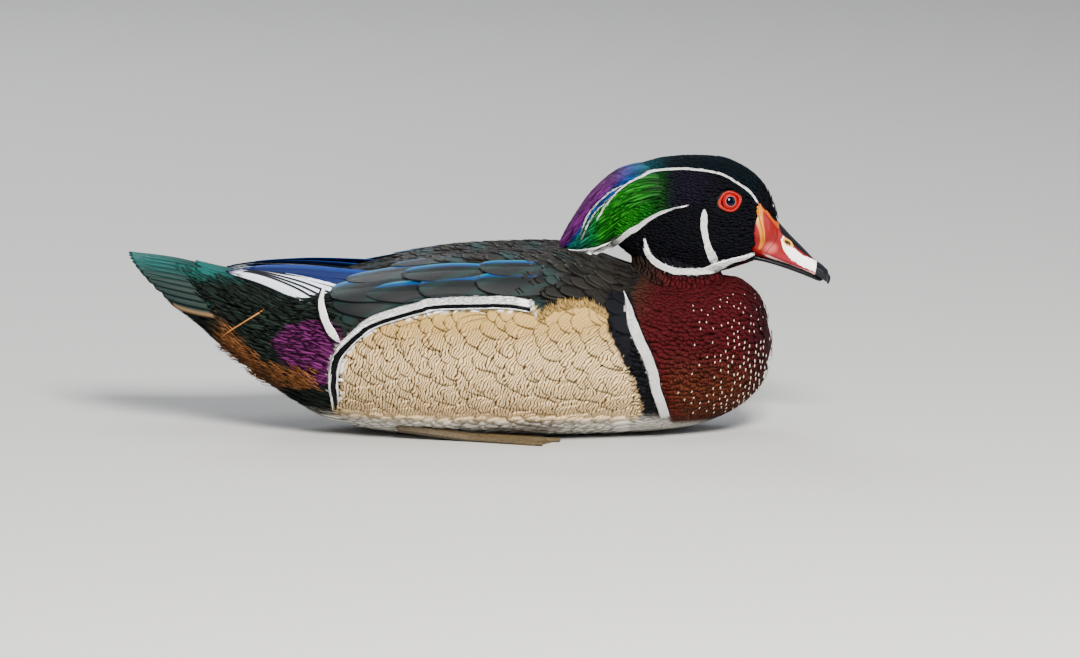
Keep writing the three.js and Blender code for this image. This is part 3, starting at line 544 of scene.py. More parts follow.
def bar_phase(points):
    """Millimetres from a point far before the breast, so that bars bend round as the flank does.
    On the breast they stand upright."""
    s, t = side_view(points)
    return np.where(s > 88 - 0.2 * t, 0.9 * s + 0.35 * t, np.hypot(s - 140, 1.1 * (t + 50)))


def head_tone(points):
    """The tone of the head, crest and neck at points."""
    s, t = side_view(points)
    tone = one_tone(points, BLACK)
    brow = np.interp(s, *BROW_EDGE)
    lower = np.interp(s, *STRIPE_EDGE)
    # Above the brow line the crown turns from black-green through blue to violet.
    over = ease(t, brow - 0.5, brow + 0.5) * (s < 147)
    crown = paint(one_tone(points, CROWN), TEAL, 0.8 * ease(s, 104, 80))
    crown = paint(crown, BLUE, 0.9 * ease(s, 90, 74))
    rise = t - brow
    violet = ease(rise, np.interp(s, [46, 70], [0.5, 2.5]), np.interp(s, [46, 70], [2.5, 7.0]))
    crown = paint(crown, VIOLET, ease(s, 84, 66) * violet)
    tone = paint(tone, crown, over)
    # Between the brow line and the crest's white stripe the side is green.
    side = (1 - over) * ease(t, lower, lower + 1) * ease(s, 106, 70)
    green = paint(one_tone(points, GREEN), TEAL, 0.8 * ease(s, 66, 50))
    tone = paint(tone, green, side)
    temple = ease(s, 128, 112) * ease(s, 96, 104) * (t > lower) * (1 - over) * 0.6
    tone = paint(tone, TEMPLE, temple)
    # The throat and its prong.
    gap, share = off_line(s, t, THROAT)
    throat_half = np.interp(share, [0, 0.25, 0.6, 0.68, 0.8, 1], [0.5, 1.1, 1.1, 2.2, 1.0, 0.5])
    tone = paint(tone, WHITE, gap < throat_half)
    gap, share = off_line(s, t, PRONG)
    tone = paint(tone, WHITE, gap < np.interp(share, [0, 0.1, 0.7, 1], [0.5, 1.1, 1.0, 1.8]))
    gap, share = off_line(s, t, CREST_STRIPE)
    tone = paint(tone, WHITE, gap < np.interp(share, [0, 0.25, 0.6, 0.8, 1], [0.0, 0.2, 1.1, 1.1, 0.1]))
    # Below the throat the neck is maroon in front and brown behind.
    neck_line = np.interp(s, *NECK_EDGE)
    under = ease(t, neck_line + 0.3, neck_line - 0.6)
    red = paint(one_tone(points, MAROON), NAPE, ease(s, 104, 86))
    return paint(tone, red, under)


print("eye at", EYE)

# %% [markdown]
# One shader serves every feather. Its colour is the feather's own tone, with painted shade along the fine
# barbs that slope from the shaft, and the flank's thin wavy bars where the coat asks for them. Wing
# and crest are a little glossier than body and head, by their roughness and by how much they mirror.

# %% Feather material
BARB_SLOPE = 0.35
BAR_PITCH = 1.55
BAR_WAVER = 21.0
BAR_WAVER_SCALE = 190
BAR_BROWN = (0.070, 0.034, 0.012)


def math_node(nodes, links, operation, *values):
    """Adds a Math node, feeding it numbers or other nodes' outputs."""
    node = nodes.new("ShaderNodeMath")
    node.operation = operation
    for socket, value in zip(node.inputs, values):
        if isinstance(value, (int, float)):
            socket.default_value = value
        else:
            links.new(value, socket)
    return node.outputs[0]


def mixed(nodes, links, factor, a, b, blend="MIX"):
    """Adds a colour Mix node between two outputs or plain colours."""
    node = nodes.new("ShaderNodeMix")
    node.data_type = "RGBA"
    node.blend_type = blend
    for name, value in (("Factor", factor), ("A", a), ("B", b)):
        socket = node.inputs[name]
        if isinstance(value, (int, float, tuple)):
            socket.default_value = (*value, 1) if isinstance(value, tuple) else value
        else:
            links.new(value, socket)
    return node.outputs["Result"]


def shaded_tone(nodes, links, shade):
    """The tone that each point carries, times a shade."""
    tone = nodes.new("ShaderNodeAttribute")
    tone.attribute_name = "tone"
    grey = nodes.new("ShaderNodeCombineXYZ")
    for i in range(3):
        links.new(shade, grey.inputs[i])
    return mixed(nodes, links, 1.0, tone.outputs["Color"], grey.outputs[0], "MULTIPLY")


def raised(nodes, links, shader, height, strength, distance):
    """Lets a height show in the shading, as if the surface rose by up to a distance in metres."""
    bump = nodes.new("ShaderNodeBump")
    bump.inputs["Strength"].default_value = strength
    bump.inputs["Distance"].default_value = distance
    links.new(height, bump.inputs["Height"])
    links.new(bump.outputs[0], shader.inputs["Normal"])


def barb_wave(nodes, links, barbs):
    """Barbs along the vane: 0.5 + 0.5 sin(2 pi barbs (v - BARB_SLOPE |u - 0.5|))."""
    uv = nodes.new("ShaderNodeUVMap")
    uv.uv_map = "vane"
    split = nodes.new("ShaderNodeSeparateXYZ")
    links.new(uv.outputs["UV"], split.inputs[0])
    off_shaft = math_node(nodes, links, "SUBTRACT", split.outputs[0], 0.5)
    off_shaft = math_node(nodes, links, "ABSOLUTE", off_shaft)
    slope = math_node(nodes, links, "MULTIPLY", off_shaft, BARB_SLOPE)
    along = math_node(nodes, links, "SUBTRACT", split.outputs[1], slope)
    turn = math_node(nodes, links, "MULTIPLY", along, 2 * math.pi * barbs)
    wave = math_node(nodes, links, "SINE", turn)
    return math_node(nodes, links, "MULTIPLY_ADD", wave, 0.5, 0.5)


def fine_bars(nodes, links, colour):
    """Dark lines across a colour, one every BAR_PITCH millimetres of the phase that points carry,
    shifted to and fro by noise."""
    bars = nodes.new("ShaderNodeAttribute")
    bars.attribute_name = "bars"
    part = nodes.new("ShaderNodeSeparateXYZ")
    links.new(bars.outputs["Vector"], part.inputs[0])
    noise = object_noise(nodes, links, BAR_WAVER_SCALE, 3)
    waver = math_node(nodes, links, "MULTIPLY_ADD", noise, BAR_WAVER, -0.5 * BAR_WAVER)
    turn = math_node(nodes, links, "MULTIPLY_ADD", part.outputs[0], 2 * math.pi / BAR_PITCH, waver)
    line = math_node(nodes, links, "SINE", turn)
    dark = nodes.new("ShaderNodeMapRange")
    dark.interpolation_type = "SMOOTHSTEP"
    dark.inputs["From Min"].default_value = 0.05
    dark.inputs["From Max"].default_value = 0.75
    links.new(line, dark.inputs["Value"])
    amount = math_node(nodes, links, "MULTIPLY", dark.outputs[0], part.outputs[1])
    return mixed(nodes, links, amount, colour, BAR_BROWN)


def feather_finish(name, roughness, shine, barbs=26, depth=0.25, barred=False):
    """A material for feathers: their tone with painted shade between barbs as deep as depth, and fine bars
    if barred.
    """
    made, nodes, links, shader = new_finish(name, roughness)
    shader.inputs["Specular IOR Level"].default_value = shine
    barb = barb_wave(nodes, links, barbs)
    # Painted shade: the tone darkens between the barbs, by depth.
    shade = math_node(nodes, links, "MULTIPLY_ADD", barb, depth, 1 - depth)
    colour = shaded_tone(nodes, links, shade)
    if barred:
        colour = fine_bars(nodes, links, colour)
    links.new(colour, shader.inputs["Base Color"])
    raised(nodes, links, shader, barb, 0.35, 0.0002)
    return made


SOFT = feather_finish("soft_plumage", 0.7, 0.08, barred=True)
GLOSSY = feather_finish("glossy_plumage", 0.5, 0.12)
VELVET = feather_finish("velvet_plumage", 0.7, 0.05)
STIFF = feather_finish("stiff_vanes", 0.48, 0.15, barbs=70, depth=0.45)
SOFT_PLAIN = feather_finish("soft_plain", 0.7, 0.08, barbs=12)
STIFF_PLAIN = feather_finish("stiff_plain", 0.55, 0.1, barbs=24, depth=0.15)
print("feather finishes ready")

# %% [markdown]
# A feather is a thin blade, closed like a lens, so it has a back as well as a face. All the blades
# of a piece are one mesh, filled from whole arrays. Each blade keeps two UV maps: one runs over the
# blade, and one is a small patch at its root's place on the unwrapped body.

# %% Blades into meshes
RANDOM = np.random.default_rng(11)
PRESS = 1.0
PATCH = 0.003
MAP_START = -190
MAP_LENGTH = 380


def fill_mesh(name, points, quads, maps, tone, bars, finish, slot):
    """Makes an object from points in millimetres, four-cornered faces, and values at each point.
    What comes within PRESS of the floor is pressed flatter and stays above it:
    z = PRESS * exp(z / PRESS - 1)."""
    points = points.copy()
    low = np.minimum(points[:, 2], PRESS)
    points[:, 2] += PRESS * np.exp(low / PRESS - 1) - low
    mesh = bpy.data.meshes.new(name)
    mesh.vertices.add(len(points))
    mesh.vertices.foreach_set("co", (points * METRES).astype(np.float32).ravel())
    mesh.loops.add(quads.size)
    mesh.loops.foreach_set("vertex_index", quads.astype(np.int32).ravel())
    mesh.polygons.add(len(quads))
    mesh.polygons.foreach_set("loop_start", np.arange(0, quads.size, 4, dtype=np.int32))
    mesh.polygons.foreach_set("loop_total", np.full(len(quads), 4, np.int32))
    mesh.polygons.foreach_set("use_smooth", np.ones(len(quads), bool))
    for title, values in maps.items():
        layer = mesh.uv_layers.new(name=title)
        layer.data.foreach_set("uv", values[quads.ravel()].astype(np.float32).ravel())
    colours = mesh.attributes.new("tone", "FLOAT_COLOR", "POINT")
    colours.data.foreach_set("color", np.c_[tone, np.ones(len(tone))].astype(np.float32).ravel())
    if bars is not None:
        layer = mesh.attributes.new("bars", "FLOAT_VECTOR", "POINT")
        layer.data.foreach_set("vector", bars.astype(np.float32).ravel())
    mesh.update()
    mesh.validate()
    made = bpy.data.objects.new(name, mesh)
    mesh.materials.append(finish)
    scene.collection.objects.link(made)
    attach(made, "root")
    print(name, "faces:", len(quads))
    return made


def length_share(x):
    """Where x lies on the unwrapped body, as a share of its length."""
    return (x - MAP_START) / MAP_LENGTH


def blades(name, top, normal, thick, tone, root, finish, slot, bars=None):
    """Blades from a grid of points each. The back is the face let down by the thickness inside the
    rim, and both share the rim's points. The bake map is root + PATCH * place on the blade."""
    count, rows, lanes, _ = top.shape
    back = (top - normal * thick)[:, 1:-1, 1:-1]
    face_index = np.arange(count * rows * lanes).reshape(count, rows, lanes)
    back_index = face_index.copy()
    back_index[:, 1:-1, 1:-1] = face_index.size + np.arange(back[..., 0].size).reshape(back.shape[:3])

    def quads(index, turned):
        """Faces between neighbouring points, with their corners in turn."""
        corners = [index[:, :-1, :-1], index[:, 1:, :-1], index[:, 1:, 1:], index[:, :-1, 1:]]
        return np.stack(corners[::-1] if turned else corners, -1).reshape(-1, 4)

    along, across = np.meshgrid(np.linspace(0, 1, rows), np.linspace(0, 1, lanes), indexing="ij")
    own = np.broadcast_to(np.stack([across, along], -1), (count, rows, lanes, 2))
    bake = root[:, None, None, :] + PATCH * own

    def both(values):
        """Values for the face, then for the back."""
        inner = values[:, 1:-1, 1:-1]
        return np.concatenate([values.reshape(-1, values.shape[-1]), inner.reshape(-1, values.shape[-1])])

    points = np.concatenate([top.reshape(-1, 3), back.reshape(-1, 3)])
    faces = np.concatenate([quads(face_index, False), quads(back_index, True)])
    maps = {"OFBake": np.clip(both(bake), 0, 1), "vane": both(own)}
    bars = None if bars is None else both(bars)
    return fill_mesh(name, points, faces, maps, both(tone), bars, finish, slot)


def blade_grid(rows, lanes, stem, blunt):
    """Places along and across a blade, and its half width there as a share of the widest."""
    u, v = np.meshgrid(np.linspace(0, 1, rows), np.linspace(-1, 1, lanes), indexing="ij")
    swell = stem + (1 - stem) * np.sin(np.minimum(u / 0.5, 1) * np.pi / 2)
    return u, v, np.maximum(swell * np.sqrt(1 - u**blunt), 0.04)


def on_form(form, place, angle, length, width, *, flow=-1, turn=0.0, sink=-0.2, rise=0.9, cup=0.35,
            rows=5, lanes=3, stem=0.6, blunt=3.0):
    """Blades that follow a form. Steps along and across a blade become steps of place and angle by the
    form's slopes at the root, so a long blade bends with the body. Each is sunk at its root by sink,
    stands off by rise at its tip, and its edges curl down by cup."""
    u, v, w = blade_grid(rows, lanes, stem, blunt)
    along, round_ = form.slopes(place, angle)
    normal = unit(np.cross(along, round_)) * form.way
    back = unit(along) * flow
    down = np.cross(back, normal) * np.sign(angle)[:, None]
    turn = np.broadcast_to(np.radians(turn), place.shape)[:, None]
    heading = unit(back * np.cos(turn) + down * np.sin(turn))
    aside = np.cross(normal, heading)
    step = (heading[:, None, None] * (length[:, None, None] * u)[..., None]
            + aside[:, None, None] * (0.5 * width[:, None, None] * v * w)[..., None])
    aa, bb, ab = (along * along).sum(-1), (round_ * round_).sum(-1), (along * round_).sum(-1)
    pa = (step * along[:, None, None]).sum(-1)
    pb = (step * round_[:, None, None]).sum(-1)
    scale = np.maximum(aa * bb - ab * ab, 1e-6)[:, None, None]
    shift = (bb[:, None, None] * pa - ab[:, None, None] * pb) / scale
    swing = (aa[:, None, None] * pb - ab[:, None, None] * pa) / scale
    reach = form.last - form.first
    places = np.clip(place[:, None, None] + shift, form.first + 0.002 * reach, form.last - 0.002 * reach)
    angles = angle[:, None, None] + np.clip(swing, -1.2, 1.2)
    height = sink + (rise - sink) * u ** 0.8 - cup * v**2 * w * np.sin(np.pi * np.clip(u, 0, 0.95))
    return form.surface(places, angles, np.broadcast_to(height, places.shape))


def strew(form, places, spacing, scatter=0.35):
    """Roots in rings round a form, evenly spaced by length and scattered a little."""
    angle = np.linspace(-math.pi, math.pi, 200)
    found = []
    gap = abs(places[1] - places[0])
    for i, place in enumerate(places):
        ring = form.bare(np.full(angle.shape, place), angle)
        length = np.concatenate([[0], np.cumsum(np.linalg.norm(np.diff(ring, axis=0), axis=1))])
        count = max(int(length[-1] / spacing), 3)
        at = (np.arange(count) + 0.5 * (i % 2) + RANDOM.uniform(-scatter, scatter, count)) / count
        around = np.interp((at % 1) * length[-1], length, angle)
        found.append(np.c_[place + gap * RANDOM.uniform(-scatter, scatter, count), around])
    found = np.concatenate(found)
    return np.clip(found[:, 0], form.first, form.last), found[:, 1]


def root_map(form, place, angle):
    """A root's place on the unwrapped form."""
    share = (place - form.first) / (form.last - form.first)
    return np.stack([0.01 + 0.97 * share, 0.01 + 0.97 * (angle + math.pi) / (2 * math.pi)], -1)


def vary(tone, amount):
    """Makes each blade a little lighter or darker than its neighbours."""
    each = RANDOM.uniform(1 - amount, 1 + amount, (len(tone), 1, 1, 1))
    return np.clip(tone * each, 0, 1)


print("blade tools ready")

# %% [markdown]
# Under the feathers lies one skin for body, neck, head and crest. The forms are joined by a voxel
# remesh, which melts the seams between them, and the skin lies just below the solid's surface.

# %% Skin
SKIN_DEPTH = 1.0
SKIN_CELL = 2.2


def shell(form, steps, turns, depth):
    """Rings of a form as points and faces, closed by its end rings."""
    place, angle = np.meshgrid(np.linspace(form.first, form.last, steps),
                               np.linspace(-np.pi, np.pi, turns, endpoint=False), indexing="ij")
    points, _ = form.surface(place, angle, np.full(place.shape, -depth))
    index = np.arange(steps * turns).reshape(steps, turns)
    after = np.roll(index, -1, axis=1)
    faces = np.stack([index[:-1], after[:-1], after[1:], index[1:]], -1).reshape(-1, 4)
    return points.reshape(-1, 3), faces[:, ::-1] if form.way < 0 else faces


def joined_shells(name, shells, voxel):
    """Joins closed shells into one even mesh by a voxel remesh, and smooths it."""
    points, faces, ends, start = [], [], [], 0
    for verts, quads, turns in shells:
        points.append(verts)
        faces.extend((quads + start).tolist())
        ends.append([start + i for i in range(turns)][::-1])
        ends.append([start + len(verts) - turns + i for i in range(turns)])
        start += len(verts)
    mesh = bpy.data.meshes.new(name)
    mesh.from_pydata((np.concatenate(points) * METRES).tolist(), [], faces + ends)
    draft = bpy.data.objects.new(name, mesh)
    scene.collection.objects.link(draft)
    remesh = draft.modifiers.new("join", "REMESH")
    remesh.mode = "VOXEL"
    remesh.voxel_size = voxel * METRES
    smooth = draft.modifiers.new("smooth", "SMOOTH")
    smooth.factor = 0.6
    smooth.iterations = 8
    whole = bpy.data.meshes.new_from_object(draft.evaluated_get(bpy.context.evaluated_depsgraph_get()))
    bpy.data.objects.remove(draft)
    count = len(whole.vertices)
    place = np.empty(3 * count, np.float32)
    whole.vertices.foreach_get("co", place)
    corners = np.empty(len(whole.loops), np.int32)
    whole.loops.foreach_get("vertex_index", corners)
    return place.reshape(-1, 3) / METRES, corners.reshape(-1, 4)


def bars_of(points, amount):
    """What the shader needs for fine bars: their phase, and how strongly they show."""
    return np.stack([bar_phase(points), amount, 0 * amount], -1)


SHELLS = [
    # form, steps along, turns, depth
    (body, 90, 72, SKIN_DEPTH),
    (neck, 16, 48, SKIN_DEPTH),
    (skull, 60, 48, SKIN_DEPTH),
    (forehead, 24, 32, SKIN_DEPTH * 0.6),
    (crest, 40, 36, SKIN_DEPTH),
]
shells = [(*shell(form, steps, turns, depth), turns) for form, steps, turns, depth in SHELLS]
skin_points, skin_faces = joined_shells("skin", shells, SKIN_CELL)
skin_s, _ = side_view(skin_points)
skin_z = skin_points[:, 2]
on_head = ease(skin_z, 78, 84) * ((skin_s > 84) | (skin_z > 98.5))
low_tone, skin_bars = body_tone(skin_points)
skin_tone = paint(low_tone, head_tone(skin_points), on_head)
turn_share = 0.5 + np.arctan2(skin_points[:, 1], skin_z - 50) / (2 * math.pi)
skin_map = np.stack([length_share(skin_points[:, 0]), turn_share], -1)
skin = fill_mesh("skin", skin_points, skin_faces, {"OFBake": skin_map, "vane": skin_map}, skin_tone,
                 bars_of(skin_points, skin_bars), SOFT, "body_plumage")
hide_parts("torso", "neck", "head", "crest")

# %% [markdown]
# Breast feathers are small and close, and those of the belly and mantle are broad. Those of the rump
# are loose and narrow, almost like hair.

# %% Body coat


def coat(name, form, place, angle, length, width, tone_of, finish, slot, jitter=0.12, thick=0.15, **how):
    """Lays blades at roots on a form and gives each the tone of the place where it lies."""
    top, normal = on_form(form, place, angle, length, width, **how)
    tone, bars = tone_of(top)
    return blades(name, top, normal, thick, vary(tone, jitter), root_map(form, place, angle), finish, slot,
                  bars=bars_of(top, bars))


def pick(keep, *arrays):
    """Keeps the chosen entries of each array."""
    return [a[keep] for a in arrays]


def spread(low, high, count):
    """Random sizes between two limits."""
    return RANDOM.uniform(low, high, count)


place, angle = strew(body, np.arange(154.6, 66, -2.2), 2.5)
at = body.bare(place, angle)
place, angle = pick(~(neck.holds(at) | skull.holds(at)) & ((place > 85) | (at[:, 2] > 78)), place, angle)
n = len(place)
length = spread(6.5, 8, n) * ease(place, 157, 149)
width = spread(3.2, 4.2, n) * ease(place, 159, 150)
coat("breast_coat", body, place, angle, length, width, body_tone, SOFT, "body_plumage",
     rise=0.26, sink=-0.25, cup=0.06, turn=spread(-6, 6, n), blunt=2.2, jitter=0.12)

place, angle = strew(body, np.arange(82, -100, -4.2), 5.2)
at = body.bare(place, angle)
place, angle = pick((at[:, 2] < 14) | (at[:, 2] > 78) | (place < -66), place, angle)
n = len(place)
coat("trunk_coat", body, place, angle, spread(12, 15, n), spread(8, 10, n), body_tone, SOFT, "body_plumage",
     rise=0.7, cup=0.15, turn=spread(-8, 8, n), blunt=3)

place, angle = strew(body, np.arange(-70, -160, -2.4), 2.6, scatter=0.5)
n = len(place)
# These draws are passed over. They stay, because the places of all later feathers follow from them.
spread(0, 1, n)
coat("rump_coat", body, place, angle, spread(11, 17, n), spread(1.6, 3.0, n), body_tone, SOFT,
     "body_plumage", rise=1.9, turn=spread(-22, 16, n), blunt=1.6, jitter=0.65)

# %% [markdown]
# The flank is a fan of long soft feathers that lie backwards over one another. They carry the fine
# bars. The white and black bands along their top come later, as pieces of their own.

# %% Flank feathers
place, angle = strew(body, np.arange(88, -66, -6.5), 8.5, scatter=0.3)
at = body.bare(place, angle)
upper, lower = np.moveaxis(FLANK_EDGES(place), -1, 0)
upper, lower = np.where(place > 56, 79, upper + 1), np.where(place > 56, 12, lower)
place, angle = pick((at[:, 2] < upper) & (at[:, 2] > lower), place, angle)
n = len(place)
coat("flank_coat", body, place, angle, spread(20, 25, n), spread(12, 14, n), body_tone, SOFT,
     "flank_plumage", rise=0.22, turn=spread(-6, 2, n), rows=12, lanes=7, jitter=0.02, thick=0.06,
     cup=0.04, blunt=3)
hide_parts("flank_left", "flank_right")

# %% [markdown]
# Scapulars and wing coverts lie over the folded wing like tiles, dark with a painted bronze-green sheen.

# %% Scapulars
place, angle = strew(body, np.arange(76, -30, -4.2), 6.0, scatter=0.3)
at_s, at_t = side_view(body.surface(place, angle)[0])
SCAPULAR_EDGE = ([-78, -60, -40, -20, 10, 27, 33, 48, 60, 76],
                 [14, 24, 32, 37, 37, 36, 33, 36, 36, 42])
edge_t = np.interp(at_s, *SCAPULAR_EDGE)
place, angle = pick(at_t > np.where(place < 34, 57, edge_t + 2), place, angle)
n = len(place)
coat("scapulars", body, place, angle, spread(15, 19, n), spread(8, 10, n), body_tone, GLOSSY,
     "wing_plumage", rise=1.5, turn=spread(-10, 0, n), rows=8, lanes=5, jitter=0.55, thick=0.2,
     cup=0.3, blunt=3)

# %% [markdown]
# Head feathers are tiny, and lie back from the bill like velvet. Those that would start inside a
# neighbouring form, on the bill's lobes or under an eyelid are left out.

# %% Head coat


def with_no_bars(tone_of):
    """Makes a tone function fit for a coat that has no fine bars."""

    def tones(points):
        """The tone at points, and bars of no strength."""
        return tone_of(points), np.zeros(points.shape[:-1])

    return tones


bare_head = with_no_bars(head_tone)
LID_ROOM = 6.6
place, angle = strew(skull, np.arange(157.6, 62, -1.35), 1.6)
at = skull.bare(place, angle)
in_neck = neck.holds(at, 0.9) & (at[:, 2] < 90)
place, angle = pick(~(crest.holds(at, 0.85) | upper_bill.holds(at) | in_neck), place, angle)
eye_s, eye_t = side_view(skull.bare(place, angle))
at_bill = inside(eye_s - 0.8, eye_t, BILL_SIDE)
at_eye = np.hypot(eye_s - EYE[0], eye_t - EYE[1]) <= LID_ROOM
place, angle = pick(~at_eye & ~at_bill, place, angle)
n = len(place)
half = n // 2
order = RANDOM.permutation(n)
for name, part in (("head_coat_a", order[:half]), ("head_coat_b", order[half:])):
    m = len(part)
    coat(name, skull, place[part], angle[part], spread(3.6, 4.6, m), spread(1.7, 2.2, m),
         bare_head, VELVET, "head_plumage", rise=0.55, sink=-0.15, cup=0.1, jitter=0.1, thick=0.1)

place, angle = strew(forehead, np.arange(158, 139, -1.4), 1.6)
place, angle = pick(np.abs(angle) < 1.9, place, angle)
n = len(place)
coat("forehead_coat", forehead, place, angle, spread(3, 4, n), spread(1.5, 2, n), bare_head, VELVET,
     "head_plumage", rise=0.25, sink=-0.2, cup=0.1, jitter=0.1, thick=0.1)

place, angle = strew(neck, np.arange(98, 69, -1.8), 2.4)
at = neck.bare(place, angle)
place, angle = pick(~(skull.holds(at, 0.9) | body.holds(at, 0.85)), place, angle)
n = len(place)
coat("neck_coat", neck, place, angle, spread(5, 7, n), spread(2.6, 3.6, n),
     bare_head, SOFT, "body_plumage", rise=0.4, cup=0.1, turn=spread(-10, 10, n))

# %% [markdown]
# The crest is a mane of long narrow feathers that leave the crown and sweep back to one point. Each
# takes a lighter or darker tone than its neighbours, which draws the fine lines of a real crest.

# %% Crest
place, angle = strew(crest, np.linspace(0.02, 0.86, 40), 1.15, scatter=0.5)
at = crest.bare(place, angle)
place, angle = pick(~skull.holds(at, 0.92), place, angle)
n = len(place)
coat("crest_feathers", crest, place, angle, spread(11, 20, n) * (1.15 - 0.5 * place), spread(1.3, 1.9, n),
     bare_head, GLOSSY, "crest_plumage", flow=1, rise=1.0, sink=-0.2, cup=0.15, rows=8, lanes=3,
     turn=spread(-5, 5, n), jitter=0.9, thick=0.15, blunt=1.6)

# %% [markdown]
# The drawn marks need crisp edges, so their feathers are placed one by one along lines in the side
# view. A relief of the bird's side turns a place in that view into a point: it is the outermost of
# six forms there, smoothed a little.

# %% Relief of the side
CELL = 0.5
RELIEF_LOW = np.array([-190.0, -45.0])
RELIEF_SIZE = (760, 330)


def side_relief():
    """The half width of the bird at each cell of the side view. Each form's points drop into cells
    and the greatest stays; empty cells take their neighbours' values, and a soft blur follows."""
    relief = np.zeros(RELIEF_SIZE)
    for form in (body, neck, skull, crest, forehead, upper_bill):
        place, angle = np.meshgrid(np.linspace(form.first, form.last, 900),
                                   np.linspace(0.01, 3.1, 700), indexing="ij")
        points, _ = form.surface(place, angle, np.zeros(place.shape))
        s, t = side_view(points)
        i = np.clip(((s - RELIEF_LOW[0]) / CELL).astype(int), 0, RELIEF_SIZE[0] - 1)
        j = np.clip(((t - RELIEF_LOW[1]) / CELL).astype(int), 0, RELIEF_SIZE[1] - 1)
        np.maximum.at(relief, (i.ravel(), j.ravel()), points[..., 1].ravel())
    for _ in range(3):
        near = np.max([np.roll(relief, step, axis) for axis in (0, 1) for step in (-1, 1)], axis=0)
        relief = np.where(relief > 0, relief, near)
    for _ in range(4):
        relief = (relief * 2 + sum(np.roll(relief, step, axis) for axis in (0, 1) for step in (-1, 1))) / 6
    return relief


RELIEF = side_relief()
FALL_S, FALL_T = np.gradient(RELIEF, CELL)


def sample(grid, s, t):
    """Reads a grid between its cells."""
    i = np.clip((s - RELIEF_LOW[0]) / CELL, 0, RELIEF_SIZE[0] - 1.001)
    j = np.clip((t - RELIEF_LOW[1]) / CELL, 0, RELIEF_SIZE[1] - 1.001)
    i0, j0 = i.astype(int), j.astype(int)
    a, b = i - i0, j - j0
    return ((1 - a) * (1 - b) * grid[i0, j0] + a * (1 - b) * grid[i0 + 1, j0]
            + (1 - a) * b * grid[i0, j0 + 1] + a * b * grid[i0 + 1, j0 + 1])


def from_side(s, t, lift, side):
    """Points of the bird's side at places in the side view, raised by lift, with their normals.
    On the slope t = LEVEL * z - SLANT * y the normal is (-dy/ds, 1 + SLANT * dy/dt, -LEVEL * dy/dt)."""
    y = sample(RELIEF, s, t)
    fall_s, fall_t = sample(FALL_S, s, t), sample(FALL_T, s, t)
    normal = unit(np.stack([-fall_s, 1 + SLANT * fall_t, -LEVEL * fall_t], -1))
    point = np.stack([s, y, VIEW_ZERO + (t + SLANT * y) / LEVEL], -1) + normal * np.asarray(lift)[..., None]
    flip = np.array([1, side, 1])
    return point * flip, normal * flip


print("relief deepest:", round(float(RELIEF.max()), 1))

# %% [markdown]
# A white line on the head is a row of tiny white feathers, each lying along the line and over the
# next one's root. Five of them stand side by side, spread over the line's width.

# %% White lines of the head
LINE_GAP = 0.9
DRAWN_LANES = 3
DRAWN_THICK = 0.12


def along_line(line, gap):
    """Points every gap millimetres along a smooth curve through a line's points, with its heading
    there and the share of its length."""
    line = np.array(line, float)
    knots = np.concatenate([[0], np.cumsum(np.hypot(*np.diff(line, axis=0).T))])
    curve = through(np.c_[knots, line])
    at = np.arange(0, knots[-1], gap)
    ahead, behind = curve(np.minimum(at + 1.5, knots[-1])), curve(np.maximum(at - 1.5, 0))
    heading = np.arctan2(ahead[:, 1] - behind[:, 1], ahead[:, 0] - behind[:, 0])
    return *curve(at).T, heading, at / knots[-1]


def drawn(name, s, t, heading, length, width, tone, finish, slot, *, lift=0.4, rise=0.5, rows=4,
          stem=0.7, blunt=2.5, cup=0.1, jitter=0.05):
    """Blades at places in the side view, on both sides of the bird, each along its heading."""
    u, v, w = blade_grid(rows, DRAWN_LANES, stem, blunt)
    du = length[:, None, None] * u
    dv = 0.5 * width[:, None, None] * v * w
    c, sn = np.cos(heading)[:, None, None], np.sin(heading)[:, None, None]
    places_s = s[:, None, None] + du * c - dv * sn
    places_t = t[:, None, None] + du * sn + dv * c
    height = lift + rise * u - cup * v**2
    tops, normals, tones, roots = [], [], [], []
    for side, step in ((-1, 1), (1, -1)):
        point, normal = from_side(places_s, places_t, np.broadcast_to(height, places_s.shape), side)
        tops.append(point[:, :, ::step])
        normals.append(normal[:, :, ::step])
        tones.append(one_tone(point, tone))
        roots.append(np.stack([length_share(s), 0.25 + (t + 40) / 640 + (0.25 if side > 0 else 0)], -1))
    return blades(name, np.concatenate(tops), np.concatenate(normals), DRAWN_THICK,
                  vary(np.concatenate(tones), jitter), np.concatenate(roots), finish, slot)


def white_line(name, line, wide, length=4.5, tone=WHITE):
    """A feathered white line whose half width follows shares of its length."""
    s, t, heading, share = along_line(line, LINE_GAP)
    half = np.interp(share, *zip(*wide))
    lanes = 5
    offset = np.linspace(-1, 1, lanes)
    across = (half[:, None] - 0.45).clip(0) * offset
    s = (s[:, None] - across * np.sin(heading)[:, None]).ravel()
    s = s + RANDOM.uniform(-0.15, 0.15, s.size)
    t = (t[:, None] + across * np.cos(heading)[:, None]).ravel()
    t = t + RANDOM.uniform(-0.1, 0.1, t.size)
    heading = np.repeat(heading, lanes) + RANDOM.uniform(-0.06, 0.06, s.size)
    own = 0.5 + 0.5 * ease(np.repeat(half, lanes), 0.3, 0.9)
    return drawn(name, s, t, heading, np.full(s.size, length), own, tone, VELVET, "head_plumage")


